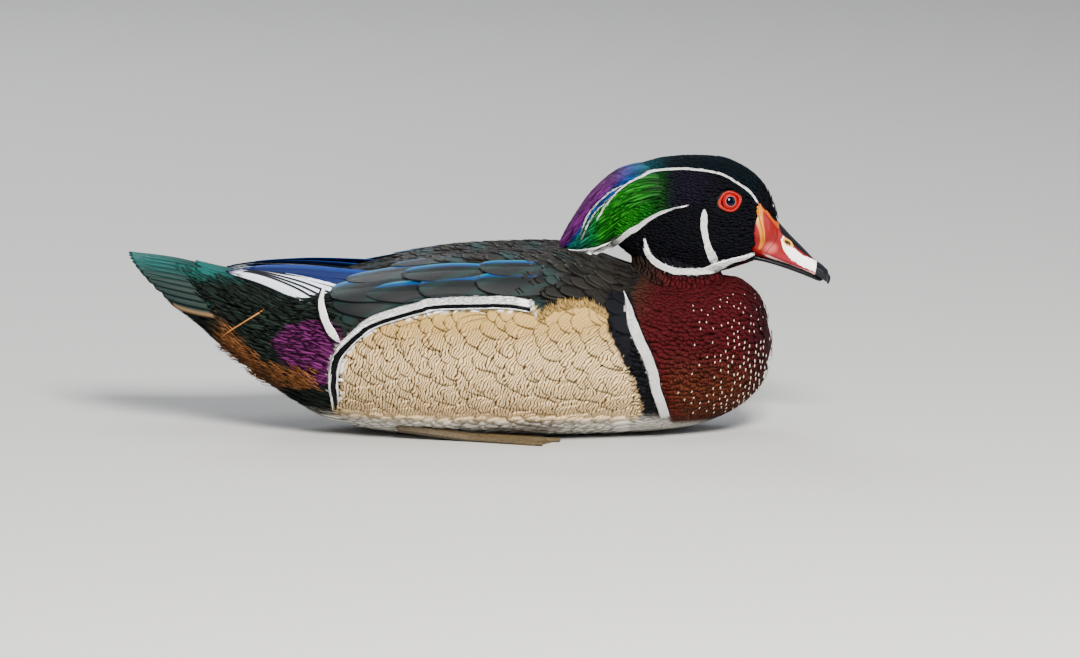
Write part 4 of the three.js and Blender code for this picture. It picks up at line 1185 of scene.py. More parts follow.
white_line("brow_line", BROW, [(0, 0.6), (0.6, 0.62), (1, 0.5)])
white_line("brow_outer_line", BROW_OUTER, [(0, 0.2), (0.3, 0.35), (1, 0.2)])
white_line("brow_inner_line", BROW_INNER, [(0, 0.2), (0.3, 0.35), (1, 0.2)])
white_line("crest_stripe", CREST_STRIPE, [(0, 0.3), (0.25, 0.9), (0.6, 1.8), (0.8, 2.0), (1, 0.6)],
           length=6)
CREST_SPLIT = [(78, 72.4), (73, 69.0), (67, 65.6), (61, 63.2), (54, 62.2), (46, 62.2)]
white_line("crest_split", CREST_SPLIT, [(0, 0.1), (0.5, 0.2), (1, 0.1)], tone=BLACK)
white_line("throat_line", THROAT[::-1],
           [(0, 0.8), (0.2, 1.5), (0.32, 2.6), (0.42, 1.7), (0.8, 1.6), (1, 0.6)])
white_line("cheek_prong", PRONG[::-1], [(0, 2.3), (0.3, 1.5), (0.9, 1.8), (1, 0.9)])

# %% [markdown]
# Bands at the flank and before the wing are made in the same way, between two offsets from a line.
# The blades shingle. Those of the flank point to the rear, and those before the wing point down.

# %% Bands


def band(name, line, inner, outer, tone, finish, slot, *, length=7.0, width=1.5, gap=1.6, **how):
    """Blades along a line, filling the strip between two offsets that follow shares of its length."""
    s, t, heading, share = along_line(line, gap)
    low, high = np.interp(share, *zip(*inner)), np.interp(share, *zip(*outer))
    lanes = max(int(math.ceil(np.max(high - low) / (0.6 * width))), 1)
    part = (np.arange(lanes) + 0.5) / lanes
    strip = (high - low)[:, None]
    own = np.minimum(width, np.repeat(strip, lanes, 1)).ravel()
    room = np.maximum(strip - own.reshape(-1, lanes), 0)
    off = (0.5 * (low + high))[:, None] + (part - 0.5) * room * (1 + 1 / max(lanes - 1, 1)) * (lanes > 1)
    shift = RANDOM.uniform(-0.4, 0.4, off.size) * gap
    heading = np.repeat(heading, lanes)
    s = np.repeat(s, lanes) - off.ravel() * np.sin(heading) + shift * np.cos(heading)
    t = np.repeat(t, lanes) + off.ravel() * np.cos(heading) + shift * np.sin(heading)
    heading = heading + RANDOM.uniform(-0.02, 0.02, s.size)
    return drawn(name, s, t, heading, np.full(s.size, length), own, tone, finish, slot, **how)


RIM = FLANK_TOP[::-1]
band("flank_white", RIM, [(0, 0), (1, 0)], [(0, 3.9), (0.6, 3.7), (0.8, 1.9), (1, 1.6)],
     WHITE, STIFF_PLAIN, "flank_plumage", length=9, lift=1.1)
band("flank_black", RIM, [(0, 3.7), (0.6, 3.5), (0.8, 1.8), (1, 1.5)],
     [(0, 5.6), (0.6, 5.5), (0.8, 4.4), (1, 3.6)], BLACK, STIFF_PLAIN, "flank_plumage", length=9, lift=1.0)
band("flank_thin_white", RIM, [(0, 5.5), (0.6, 5.4), (0.8, 4.4), (1, 3.6)],
     [(0, 6.2), (0.6, 6.2), (0.8, 5.3), (1, 4.5)], WHITE, STIFF_PLAIN, "flank_plumage",
     length=7, width=0.8, lift=0.95)
band("bar_white", BAR, [(0, -0.4), (0.1, -1.7), (0.25, -2.9), (1, -2.6)],
     [(0, 0.4), (0.1, 1.7), (0.25, 2.9), (1, 2.6)], WHITE, SOFT_PLAIN, "body_plumage",
     length=6, width=1.2, gap=1.1, lift=0.75)
band("bar_edge", BAR, [(0, 0.3), (0.1, 1.5), (0.25, 2.7), (1, 2.4)],
     [(0, 0.9), (0.1, 2.1), (0.25, 3.4), (1, 3.2)], BLACK, SOFT_PLAIN, "body_plumage",
     length=3.5, width=0.6, gap=1.1, lift=0.7)

# %% [markdown]
# Pale specks stand on the breast in rows, more and larger towards its lower front. Each is one small
# pointed feather.

# %% Breast specks
SPECK = (0.72, 0.60, 0.46)


def pale_spot(points):
    """The specks' one tone."""
    return one_tone(points, SPECK)


place, angle = strew(body, 100 + 54 * (1 - np.linspace(1, 0, 19) ** 1.4), 3.7, scatter=0.2)
at = body.bare(place, angle)
near_front = ease(place, 96, 148) * (0.45 + 0.55 * ease(at[:, 2], 76, 40))
keep = (RANDOM.uniform(0, 1, place.size) < near_front) & (at[:, 2] > 13) & (at[:, 2] < 76)
place, angle = pick(keep, place, angle)
size = 0.8 + 0.45 * ease(place, 118, 150) * ease(at[keep, 2], 72, 38)
coat("breast_specks", body, place, angle, 1.7 * size, 0.95 * size, with_no_bars(pale_spot), SOFT_PLAIN,
     "body_plumage", rise=0.85, sink=0.45, cup=0.0, blunt=1.6, stem=0.25, turn=spread(55, 85, len(place)))

# %% [markdown]
# Where the buff flank meets the dark wing, its top feathers fray into fine hairs. Rusty hairs hang
# round the vent in the same way, and a plume of two long orange feathers crosses the rump.

# %% Frayed edges
FRAY_COUNT = 260
HAIR_COUNT = 420
VENT_LINE = [(-134, 14), (-124, 3), (-112, -6), (-98, -9), (-86, -10)]
PLUME = (0.50, 0.20, 0.05)


def somewhere_on(line, count):
    """Random places on a line, as many on average between each two of its points."""
    share = RANDOM.uniform(0, 1, count)
    knots = np.linspace(0, 1, len(line))
    return [np.interp(share, knots, values) for values in zip(*line)]


place_s, place_t = somewhere_on(FLANK_FRONT[:5], FRAY_COUNT)
place_t = place_t - RANDOM.uniform(0, 3, FRAY_COUNT)
heading = np.radians(RANDOM.uniform(85, 150, FRAY_COUNT))
drawn("flank_fray", place_s, place_t, heading, spread(2, 5, FRAY_COUNT), spread(0.3, 0.6, FRAY_COUNT), BUFF,
      SOFT_PLAIN, "flank_plumage", lift=0.9, rise=0.8, blunt=1.3, stem=0.5, jitter=0.5)

place_s, place_t = somewhere_on(VENT_LINE, HAIR_COUNT)
place_s = place_s + RANDOM.uniform(-2, 6, HAIR_COUNT)
place_t = place_t + RANDOM.uniform(-2, 8, HAIR_COUNT)
heading = np.radians(RANDOM.uniform(125, 165, HAIR_COUNT))
drawn("vent_hairs", place_s, place_t, heading, spread(5, 10, HAIR_COUNT), spread(0.35, 0.8, HAIR_COUNT),
      RUST, SOFT_PLAIN, "body_plumage", lift=0.8, rise=1.2, blunt=1.3, stem=0.5, jitter=0.55)

plume = np.array([
    # root s, root t, heading in degrees, length, width
    (-112.6, 30.5, 210.0, 26.0, 0.9), (-113.5, 29.6, 208.0, 22.0, 0.7),
])
drawn("rump_plume", plume[:, 0], plume[:, 1], np.radians(plume[:, 2]), plume[:, 3], plume[:, 4], PLUME,
      SOFT_PLAIN, "tail_plumage", lift=1.6, rise=1.0, rows=12, blunt=1.3, stem=0.5)

# %% [markdown]
# Wing and tail quills are stiff blades carried along a curve. Each is a grid: one step goes along
# the quill, and the other crosses the vane, square to the quill and to the way it faces.

# %% Quills
QUILL_THICK = 0.3
QUILL_RIDGE = 0.25


def quills(name, spine, facing, half, tone_of, finish, slot, *, lanes=9, cup=0.3):
    """Blades along spines (blade, row, xyz). A point is spine + v * half * aside, with v from -1 to 1,
    less cup * v**2, plus a narrow ridge along the quill. The bird's other side is the mirror image."""
    spine = np.concatenate([spine, spine * [1, -1, 1]])
    facing = np.concatenate([facing, facing * [1, -1, 1]])
    half = np.concatenate([half, half])
    heading = unit(np.gradient(spine, axis=1))
    facing = unit(facing - (facing * heading).sum(-1, keepdims=True) * heading)
    aside = np.cross(facing, heading)
    v = np.linspace(-1, 1, lanes)
    off = QUILL_RIDGE * np.exp(-((v / 0.08) ** 2)) - cup * v**2
    top = (spine[:, :, None] + aside[:, :, None] * (half[:, :, None] * v)[..., None]
           + facing[:, :, None] * off[:, None])
    side = np.where(spine[:, :1, 1] < 0, -1.0, 1.0)[:, :, None]
    level = 0 * top[..., 0]
    u = np.linspace(0, 1, spine.shape[1])[None, :, None]
    tone = tone_of(top, u + level, v * side + level, np.arange(len(spine)) % (len(spine) // 2))
    root = np.stack([length_share(spine[:, 0, 0]), 0.5 + spine[:, 0, 1] / 160], -1)
    normal = np.broadcast_to(facing[:, :, None], top.shape)
    return blades(name, top, normal, QUILL_THICK, vary(tone, 0.05), root, finish, slot)


def lengthwise(rows, stem, blunt):
    """Half width along a quill as a share of the widest: it widens from the stem and rounds off."""
    u = np.linspace(0, 1, rows)
    swell = stem + (1 - stem) * np.sin(np.minimum(u / 0.4, 1) * np.pi / 2)
    return np.maximum(swell * np.sqrt(1 - u**blunt), 0.03)


# %% [markdown]
# The tail is a roof of long feathers, ten on each side, rounded at their ends, with the middle pair
# on top. Five shorter ones on each side cover their roots.

# %% Tail
TAIL_LINE = through([(-185, 93, 21), (-165, 90.6, 24), (-135, 84, 27), (-112, 80, 29)])
TAIL_SPAN = math.radians(78)
TAIL_QUILLS = 10
TAIL_COVERTS = 5
ROWS = 22
TAIL_TOP_SHEEN = (0.0015, 0.065, 0.060)
TAIL_SIDE_SHADE = (0.0040, 0.0150, 0.0130)
TAIL_ROOT = (0.0040, 0.0130, 0.0100)
TAIL_RIM = (0.05, 0.12, 0.10)
TAIL_PALE = (0.22, 0.13, 0.06)


def tail_fan(count, root, tips, span, lift):
    """Spines on the tail's roof: x runs from root to tip while the turn from the middle grows a little,
    and the roof is a flattened circle, z - 0.95 r (1 - cos turn)."""
    turn = span * (np.arange(count) + 0.5) / count
    u = np.linspace(0, 1, ROWS)
    tip = tips[0] + (tips[1] - tips[0]) * (turn / TAIL_SPAN) ** 2.4
    x = root + (tip[:, None] - root) * u
    swing = turn[:, None] * (0.85 + 0.15 * u)
    z, radius = np.moveaxis(TAIL_LINE(x), -1, 0)
    facing = np.stack([np.zeros_like(x), np.sin(swing), np.cos(swing)], -1)
    high = lift[0] + (lift[1] - lift[0]) * np.minimum(2.5 * u, 1) + 1.6 * (1 - turn[:, None] / TAIL_SPAN)
    spine = np.stack([x, radius * np.sin(swing), z - 0.95 * radius * (1 - np.cos(swing))], -1)
    return spine + facing * high[..., None], facing


def tail_tone(points, u, v, which):
    """The tail's own dark green, made turquoise on the roof's top by painted sheen and greener and darker
    down its side by painted shade, with a pale edge on the lowest.
    """
    down = (which / TAIL_QUILLS)[:, None, None] + 0 * u
    # Painted sheen on the upper quills, and painted shade on the lower ones down the roof's side.
    tone = paint(one_tone(points, TAIL_TOP_SHEEN), TAIL_SIDE_SHADE, ease(down, 0.1, 0.6))
    tone = paint(tone, TAIL_ROOT, 0.7 * ease(u, 0.75, 0.35))
    tone = paint(tone, TAIL_RIM, 0.35 * ease(v, 0.8, 1.0))
    return paint(tone, TAIL_PALE, ease(down, 0.82, 0.9) * ease(-v, 0.55, 0.9))


spine, facing = tail_fan(TAIL_QUILLS, -126, (-185, -159), TAIL_SPAN, (-2.2, 0.6))
half = np.full((TAIL_QUILLS, 1), 6.0) * lengthwise(ROWS, 0.8, 6)
tail = quills("tail_quills", spine, facing, half, tail_tone, STIFF, "tail_plumage", cup=0.5)
spine, facing = tail_fan(TAIL_COVERTS, -116, (-150, -140), TAIL_SPAN * 0.9, (0.3, 1.5))
half = np.full((TAIL_COVERTS, 1), 6.5) * lengthwise(ROWS, 0.7, 3)
quills("tail_coverts", spine, facing, half, tail_tone, GLOSSY, "tail_plumage", cup=0.5)
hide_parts("tail")

# %% [markdown]
# The folded hand shows seven primaries. They fan out at the wing and close up at their tips. The five
# lower ones are silver-white between black edges, and the two upper ones are deep blue.

# %% Primaries
LOWEST = through([
    (0, -62, 47, 58), (0.3, -83.5, 37, 70.0), (0.5, -98, 27, 77.6), (0.8, -121, 14, 84.4),
    (1, -135, 8, 86),
])
HIGHEST = through([
    (0, -40, 24, 82), (0.3, -70, 20, 84.6), (0.5, -94, 14, 86), (0.8, -121, 8, 86), (1, -133, 6, 86),
])
PRIMARIES = 7
SILVER_PRIMARIES = 5
PRIMARY_STEP = 0.5
LOW_FACING = np.array([0, 0.93, 0.37])
HIGH_FACING = np.array([0, 0.60, 0.80])
PRIMARY_BLUE = (0.0010, 0.0090, 0.0700)
PRIMARY_SHINE = (0.0010, 0.030, 0.190)
SILVER = (0.74, 0.80, 0.90)
QUILL_BLACK = (0.004, 0.005, 0.010)
share = np.linspace(0, 1, PRIMARIES)[:, None]
reach = np.interp(share, [0, 0.2, 0.45, 0.75, 1], [0.93, 1.0, 0.97, 0.9, 0.8])
along = np.linspace(0, 1, ROWS)[None] * reach
spine = LOWEST(along) + (HIGHEST(along) - LOWEST(along)) * share[..., None]
facing = LOW_FACING + (HIGH_FACING - LOW_FACING) * share[..., None]
facing = np.broadcast_to(facing, spine.shape)
spine = spine + unit(facing) * (PRIMARY_STEP * np.arange(PRIMARIES)[:, None, None])
half = 4.6 * (1 - 0.35 * along) * lengthwise(ROWS, 0.95, 7)


def primary_tone(points, u, v, which):
    """Blue, but for the lower quills, which are silver-white between black edges."""
    tone = paint(one_tone(points, PRIMARY_BLUE), PRIMARY_SHINE, ease(v, 0.0, 0.7))
    lower = (which < SILVER_PRIMARIES)[:, None, None]
    tone = paint(tone, SILVER, lower * ease(u, 0.97, 0.9))
    return paint(tone, QUILL_BLACK, lower * (np.abs(v) > 0.58))


wing = quills("primaries", spine, facing, half, primary_tone, STIFF, "wing_plumage", lanes=15, cup=0.4)
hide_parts("wing_left", "wing_right")

# %% [markdown]
# The secondaries end in a white crescent with a black line along one side. Over them lie the
# tertials, broad and rounded, slate-black with painted bands of green sheen and an upper edge that shines
# blue.

# %% Crescent and tertials
CRESCENT = [(-77.4, 46.5), (-80.9, 41), (-82.4, 34), (-80.6, 27), (-77.2, 20.5), (-72.6, 15)]
CRESCENT_SIDE = [(0, -0.2), (0.25, -1.1), (0.55, -2.4), (0.8, -2.0), (1, -0.2)]
band("crescent", CRESCENT, CRESCENT_SIDE, [(at, -off) for at, off in CRESCENT_SIDE], WHITE, STIFF_PLAIN,
     "wing_plumage", length=3.5, gap=0.9, width=1.2, lift=2.4, cup=0.0, rise=0.2)
band("crescent_edge", CRESCENT, [(0, -1.0), (0.25, -2.0), (0.55, -3.2), (0.8, -2.6), (1, -0.8)],
     CRESCENT_SIDE, BLACK, STIFF_PLAIN, "wing_plumage", length=3.5, width=0.8, gap=0.9, lift=2.35,
     cup=0.0, rise=0.2)


def seen_at(form, s, t):
    """The angle on a form's near side where it shows at a height in the side view."""
    angle = np.linspace(0, np.pi, 400)
    places = np.repeat(s[:, None], angle.size, 1)
    rings, _ = form.surface(places, np.repeat(angle[None], len(s), 0), 0.0 * s[:, None])
    heights = side_view(rings)[1]
    return np.array([np.interp(-one, -row, angle) for one, row in zip(t, heights)])


TERTIALS = np.array([
    # root s, root t, length, width, turn, stand-off
    (-36, 33.0, 42, 20, -8, 1.5), (-8, 40.5, 52, 17, -3, 1.9), (-34, 44.5, 45, 24, 2, 2.8),
    (-28, 52.0, 42, 17, 1, 2.6), (-38, 57.0, 34, 13, 0, 1.4), (14, 42.0, 46, 19, -2, 2.1),
    (4, 51.0, 44, 16, 0, 3.0), (40, 44.0, 42, 17, -2, 2.3), (38, 52.5, 38, 14, 0, 2.8),
    (-4, 58.5, 42, 13, 0, 1.8),
])
TERTIAL_GRID = {"rows": 24, "lanes": 15, "stem": 0.7, "blunt": 5}
SLATE = (0.0065, 0.0085, 0.0090)
PAINTED_SLATE_SHEEN = (0.0060, 0.0220, 0.0200)
TERTIAL_BLUE = (0.0010, 0.050, 0.190)
TERTIAL_BRIGHT = (0.0030, 0.200, 0.280)
TERTIAL_RIM = (0.004, 0.005, 0.008)
angle = seen_at(body, TERTIALS[:, 0], TERTIALS[:, 1])
place, angle = np.r_[TERTIALS[:, 0], TERTIALS[:, 0]], np.r_[-angle, angle]
length, width, turn, off = np.r_[TERTIALS, TERTIALS][:, 2:].T
top, normal = on_form(body, place, angle, length, width, turn=turn, rise=off[:, None, None], sink=0.6,
                      cup=0.5, **TERTIAL_GRID)
u, v, _ = blade_grid(**TERTIAL_GRID)
up = v * np.sign(angle)[:, None, None]
tone = one_tone(top, SLATE)
# Painted sheen: slanting bands of green glints over the slate.
tone = paint(tone, PAINTED_SLATE_SHEEN, 0.7 * ease(np.sin(9 * u + 3 * up), 0.0, 1.0))
tone = paint(tone, TERTIAL_BLUE, ease(up, 0.40, 0.66))
tone = paint(tone, TERTIAL_BRIGHT, ease(up, 0.70, 0.9))
tone = paint(tone, TERTIAL_RIM, ease(np.hypot(up, np.maximum(u - 0.86, 0) * 7), 0.93, 0.99))
blades("tertials", top, normal, 0.35, vary(tone, 0.12), root_map(body, place, angle), STIFF, "wing_plumage")

# %% [markdown]
# The bill is horn over bone: smooth, a little waxy, and painted by nature in flat fields. Its
# surface is a fine grid on the bill's form, so each field can be told by its outline alone.

# %% Bill
YELLOW_BASE = [
    (147.4, 86.5), (146.5, 82.7), (147.6, 77.3), (149, 71.9), (149.3, 67), (147.9, 63.2),
]
YELLOW_TOP = [(147.4, 86.5), (150.5, 84.2), (154.2, 79.6), (157.9, 75.1)]
BILL_WHITE = [
    (159.0, 67.8), (160.2, 69.8), (164.4, 64.6), (170.5, 59.6), (177.9, 56.9), (179.2, 53.0),
    (177.0, 50.8), (170.0, 53.8), (164.0, 57.8), (160.4, 62.4),
]
BILL_BLACK = [
    (157.9, 75.6), (159.2, 71.2), (161.6, 69.2), (166.2, 64.4), (172.2, 59.9), (178.2, 56.9),
    (176.9, 49.0), (174, 20), (200, 20), (200, 90), (157.9, 90),
]
BILL_FOLD = [(146, 61.6), (156, 57.6), (166.8, 53.4), (177, 49.8)]
NOSTRIL = (162.7, 66.3)
NOSTRIL_DEPTH = 1.3
NOSTRIL_LONG, NOSTRIL_HIGH, NOSTRIL_SLOPE = 2.1, 1.05, math.radians(-36)
SCARLET = (0.155, 0.0, 0.0)
CRIMSON = (0.200, 0.003, 0.011)
FLUSH = (0.62, 0.13, 0.12)
YELLOW = (0.42, 0.135, 0.0)
ORANGE = (0.34, 0.055, 0.0)
IVORY = (0.92, 0.90, 0.88)
FOLD_PINK = (0.80, 0.45, 0.42)
NOSTRIL_RIM = (0.66, 0.30, 0.004)
RIDGE_BLACK = (0.0015, 0.0020, 0.0035)
NOSTRIL_SHADE = (0.004, 0.002, 0.002)


def nostril_ring(s, t):
    """An oval's own distance from its middle: 1 on the nostril's rim."""
    ds, dt = s - NOSTRIL[0], t - NOSTRIL[1]
    along = ds * math.cos(NOSTRIL_SLOPE) + dt * math.sin(NOSTRIL_SLOPE)
    across = dt * math.cos(NOSTRIL_SLOPE) - ds * math.sin(NOSTRIL_SLOPE)
    return np.hypot(along / NOSTRIL_LONG, across / NOSTRIL_HIGH)


def bill_tone(points):
    """Scarlet, with a yellow base, a white side, a pink lower edge, a black ridge and nail, and painted
    shade in the nostril.
    """
    s, t = side_view(points)
    tone = one_tone(points, SCARLET)
    fold, _ = off_line(s, t, BILL_FOLD)
    tone = paint(tone, CRIMSON, ease(fold, 5.0, 2.0) * ease(s, 150, 160))
    tone = paint(tone, FLUSH, 0.5 * ease(np.hypot(s - 153.5, 1.2 * (t - 63.5)), 5.2, 1.0))
    base, share = off_line(s, t, YELLOW_BASE)
    wide = np.interp(share, [0, 0.3, 0.55, 0.8, 1], [3.6, 2.3, 1.5, 1.2, 0.7])
    tone = paint(tone, YELLOW, ease(base, wide + 0.25, wide - 0.25))
    top, _ = off_line(s, t, YELLOW_TOP)
    tone = paint(tone, ORANGE, ease(top, 1.6, 0.8) * (s < 158))
    edge = 0.14 * np.sin(2.1 * s)
    tone = paint(tone, IVORY, inside(s, t + edge, BILL_WHITE))
    tone = paint(tone, FOLD_PINK, ease(fold, 0.6, 0.35) * ease(s, 149, 153))
    ring = nostril_ring(s, t)
    tone = paint(tone, NOSTRIL_RIM, ease(ring, 1.75, 1.5))
    tone = paint(tone, RIDGE_BLACK, inside(s, t, BILL_BLACK) & (ring > 1.45))
    # Painted shade: the nostril's hole is dark.
    return paint(tone, NOSTRIL_SHADE, ease(ring, 1.02, 0.92))


def horn_finish(name, roughness, coat, grain, height, gloss=0.12, shine=0.3):
    """A smooth finish that shows the tone of each point, with fine grain."""
    made, nodes, links, shader = new_finish(name, roughness)
    shader.inputs["Specular IOR Level"].default_value = shine
    shader.inputs["Coat Weight"].default_value = coat
    shader.inputs["Coat Roughness"].default_value = gloss
    noise = object_noise(nodes, links, grain, 4)
    shade = math_node(nodes, links, "MULTIPLY_ADD", noise, 0.3, 0.85)
    links.new(shaded_tone(nodes, links, shade), shader.inputs["Base Color"])
    raised(nodes, links, shader, noise, 0.4, height)
    return made


HORN = horn_finish("bill_horn", 0.42, 0.12, 900, 0.00008)
BLACK_HORN = horn_finish("black_horn", 0.4, 0.1, 900, 0.00008, shine=0.15)
WET = horn_finish("wet_eye", 0.3, 0.3, 1500, 0.00001, gloss=0.02, shine=0.0)
BARE_SKIN = horn_finish("bare_skin", 0.5, 0.05, 1800, 0.00015, shine=0.15)


def formed(name, form, steps, turns, tone_of, finish, slot, dent=None):
    """A closed surface on a form, toned point by point, with an optional dent."""
    place, angle = np.meshgrid(np.linspace(form.first, form.last, steps),
                               np.linspace(-np.pi, np.pi, turns), indexing="ij")
    points, normal = form.surface(place, angle, np.zeros(place.shape))
    if dent:
        points = points - normal * dent(points)[..., None]
    points[:, -1] = points[:, 0]
    index = np.arange(steps * turns).reshape(steps, turns)
    index[:, -1] = index[:, 0]
    quads = np.stack([index[:-1, :-1], index[:-1, 1:], index[1:, 1:], index[1:, :-1]], -1).reshape(-1, 4)
    if form.way > 0:
        quads = quads[:, ::-1]
    points = points.reshape(-1, 3)
    own = np.meshgrid(np.linspace(0, 1, steps), np.linspace(0, 1, turns), indexing="ij")
    own = np.stack(own, -1).reshape(-1, 2)
    maps = {"OFBake": own, "vane": own}
    return fill_mesh(name, points, quads, maps, tone_of(points), None, finish, slot)


def nostril_dent(points):
    """How deep the nostril goes at points: NOSTRIL_DEPTH * sqrt(1 - ring**2)."""
    return NOSTRIL_DEPTH * np.sqrt(np.clip(1 - nostril_ring(*side_view(points)) ** 2, 0, 1))


bill = formed("bill_upper", upper_bill, 220, 160, bill_tone, HORN, "bill_horn", nostril_dent)
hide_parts("upper_bill")

# %% [markdown]
# The bill's base climbs the face as a thin lobe on each side, its upper point just below the brow
# line. It is a plate laid over the relief of the side, whose rim dips into the feathers.

# %% Lobes at the bill's base
LOBE_REAR = through([
    (0, 147.2, 60.6), (0.1, 147.4, 63.2), (0.25, 148.8, 67), (0.45, 148.4, 71.9), (0.65, 147.0, 77.3),
    (0.85, 146.0, 82.7), (1, 147.0, 87.8),
])
LOBE_FRONT = through([
    (0, 151, 60.2), (0.1, 153, 62.5), (0.25, 156, 66), (0.5, 158.2, 71.5), (0.62, 157.8, 75.1),
    (0.75, 154.4, 79.6), (0.88, 150.9, 84.2), (1, 147.6, 87.9),
])
steps = np.linspace(0, 1, 90)
rear, fore = LOBE_REAR(steps), LOBE_FRONT(steps)
across = np.linspace(0, 1, 60)[:, None]
wide = fore[:, 0] - rear[:, 0]
lobe_s = rear[:, 0] + wide * across
lobe_t = rear[:, 1] + (fore[:, 1] - rear[:, 1]) * across
rim = np.minimum(across * wide, (1 - across) * wide + 1.5 * ease(steps, 0.5, 0.3))
height = -0.3 + 1.35 * ease(rim, 0, 1.3) * ease(across, 1.05, 0.75 - 0.3 * ease(steps, 0.6, 0.8))
tops, normals = [], []
for side, step in ((-1, 1), (1, -1)):
    point, normal = from_side(lobe_s, lobe_t, height, side)
    tops.append(point[:, ::step])
    normals.append(normal[:, ::step])
lobe = np.stack(tops)
lobe_roots = np.array([[0.9, 0.3], [0.9, 0.7]])
blades("bill_lobes", lobe, np.stack(normals), 0.6, bill_tone(lobe), lobe_roots, HORN, "bill_horn")

# %% [markdown]
# The nail and the lower jaw are plain black horn.

# %% Nail and lower jaw
JET = (0.0020, 0.0025, 0.0040)


def black_horn(points):
    """The one tone of nail and jaw."""
    return one_tone(points, JET)


formed("bill_nail", nail, 60, 40, black_horn, BLACK_HORN, "bill_dark")
jaw = formed("bill_lower", lower_bill, 90, 60, black_horn, BLACK_HORN, "bill_dark")
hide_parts("lower_bill")

# %% [markdown]
# The eye is a wet ball set in the head, with a round pupil in a pale painted glint and a red iris of
# fine spokes, whose edge darkens by painted shade where the ball goes under the lid. A ring of
# bare scarlet skin, drawn out a little to the front and rear, holds it like a lid.

# %% Eyes and lids
EYE_PLACE, EYE_HEIGHT = 131.9, 124.5
EYE_RADIUS, EYE_OPENING = 5.6, 4.7
PUPIL = 2.6
FRONT_RINGS, BACK_RINGS, LID_RINGS = 90, 24, 33
EYE_TURNS = 144
LID_RADIUS, LID_STANDS = 4.95, 3.15
LID_WIDE, LID_HIGH = 0.75, 0.8
IRIS = (0.17, 0.0, 0.0)
IRIS_SPOKE = (0.28, 0.0010, 0.0)
IRIS_EDGE_SHADE = (0.012, 0.0, 0.0)
PUPIL_GLINT_RING = (0.30, 0.22, 0.30)
PUPIL_TONE = (0.0006, 0.0010, 0.0045)
LID = (0.20, 0.0, 0.0)
LID_WRINKLE = (0.36, 0.010, 0.006)
LID_RIM = (0.13, 0.045, 0.020)


def eye_frame(side):
    """The eye's middle and its own axes: forwards, upwards and outwards."""
    angle = np.linspace(0, np.pi, 2000)
    ring = skull.bare(np.full(2000, EYE_PLACE), angle)
    at = side * np.interp(-EYE_HEIGHT, -ring[:, 2], angle)
    point, normal = skull.surface(np.array([EYE_PLACE]), np.array([at]))
    outwards = normal[0]
    forwards = unit(np.cross([0, 0, 1], outwards) * -side)
    upwards = np.cross(outwards, forwards) * side
    return point[0] - outwards * math.sqrt(EYE_RADIUS**2 - EYE_OPENING**2), forwards, upwards, outwards


def ring_quads(rows, turns, turned):
    """Faces of a grid that closes on itself, with the first column after the last."""
    index = np.arange(rows * turns).reshape(rows, turns)
    after = np.roll(index, -1, axis=1)
    quads = np.stack([index[:-1], after[:-1], after[1:], index[1:]], -1).reshape(-1, 4)
    return quads[:, ::-1] if turned else quads


def about_eye(axes, r, a, h):
    """Points at radius r and turn a about the eye's axis, and h outwards from its middle."""
    middle, forwards, upwards, outwards = axes
    return (middle + (r * np.cos(a))[..., None] * forwards + (r * np.sin(a))[..., None] * upwards
            + h[..., None] * outwards)


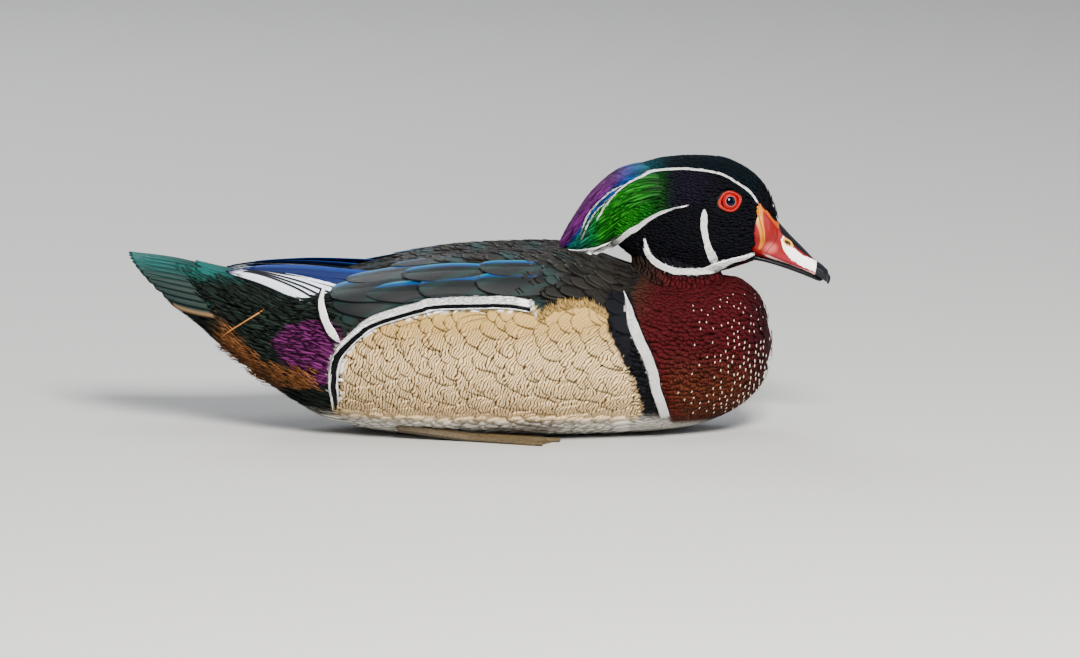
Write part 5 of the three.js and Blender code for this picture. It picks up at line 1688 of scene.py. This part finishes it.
def eye_and_lid(name, side):
    """The ball is r = R sin p, h = R cos p about the eye's axis. The lid is a ring of round section,
    whose own radius grows to the front and rear."""
    axes = eye_frame(side)
    turns = np.linspace(0, 2 * np.pi, EYE_TURNS, endpoint=False)
    rings = np.concatenate([np.linspace(0.004, 1.0, FRONT_RINGS), np.linspace(1.03, 3.138, BACK_RINGS)])
    p, a = np.meshgrid(rings, turns, indexing="ij")
    r, h = EYE_RADIUS * np.sin(p), EYE_RADIUS * np.cos(p)
    ball = about_eye(axes, r, a, h)
    spokes = 0.5 + 0.5 * np.sin(36 * a + 2 * np.sin(5 * a)) * np.sin(9 * r)
    tone = paint(one_tone(ball, IRIS), IRIS_SPOKE, spokes)
    # Painted shade: the ball darkens from the iris's edge outwards, where it goes under the lid.
    tone = paint(tone, IRIS_EDGE_SHADE, ease(r, 4.0, 4.3))
    # Painted glint: a pale ring round the pupil.
    tone = paint(tone, PUPIL_GLINT_RING, 0.5 * (np.abs(r - PUPIL - 0.1) < 0.1))
    tone = paint(tone, PUPIL_TONE, ease(r, PUPIL + 0.05, PUPIL - 0.05) * (h > 0))
    own = np.stack([r / 12 * np.cos(a) + 0.5, r / 12 * np.sin(a) + 0.5], -1).reshape(-1, 2)
    eye = fill_mesh("eye_ball_" + name, ball.reshape(-1, 3), ring_quads(len(rings), EYE_TURNS, side > 0),
                    {"OFBake": own, "vane": own}, tone.reshape(-1, 3), None, WET, "eye")
    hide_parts("eye_" + name)
    b, a = np.meshgrid(np.linspace(0, 2 * np.pi, LID_RINGS), turns, indexing="ij")
    drawn_out = 0.8 * np.abs(np.cos(a + 0.25)) ** 9
    wrinkle = 0.06 * np.sin(40 * a) * np.sin(b)
    r = LID_RADIUS + drawn_out + (LID_WIDE + 0.4 * drawn_out + wrinkle) * np.cos(b)
    h = LID_STANDS - 0.35 * drawn_out + (LID_HIGH + wrinkle) * np.sin(b)
    lid = about_eye(axes, r, a, h)
    tone = paint(one_tone(lid, LID), LID_WRINKLE, 0.4 * ease(np.sin(40 * a), 0.6, 1))
    tone = paint(tone, LID_RIM, ease(r - drawn_out, 5.45, 5.8))
    own = np.stack([a / 7, b / 7], -1).reshape(-1, 2)
    fill_mesh("eyelid_" + name, lid.reshape(-1, 3), ring_quads(LID_RINGS, EYE_TURNS, side < 0),
              {"OFBake": own, "vane": own}, tone.reshape(-1, 3), None, BARE_SKIN, "head_plumage")


for name, side in (("right", -1), ("left", 1)):
    eye_and_lid(name, side)

# %% [markdown]
# The feet are the frame's own solids. They get a scaly skin: cells in dull yellow with dark seams.

# %% Foot skin
SEAM = (0.016, 0.010, 0.004)
SCALE = (0.070, 0.045, 0.014)
foot_skin, nodes, links, shader = new_finish("foot_skin", 0.55)
place = nodes.new("ShaderNodeTexCoord")
cells = nodes.new("ShaderNodeTexVoronoi")
cells.feature = "DISTANCE_TO_EDGE"
cells.inputs["Scale"].default_value = 700
links.new(place.outputs["Object"], cells.inputs["Vector"])
seams = nodes.new("ShaderNodeMapRange")
seams.inputs["From Max"].default_value = 0.12
links.new(cells.outputs["Distance"], seams.inputs["Value"])
links.new(mixed(nodes, links, seams.outputs[0], SEAM, SCALE), shader.inputs["Base Color"])
raised(nodes, links, shader, seams.outputs[0], 0.5, 0.0003)
for name in ("leg_left", "leg_right"):
    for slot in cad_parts[name].material_slots:
        slot.material = foot_skin
print("feet dressed")
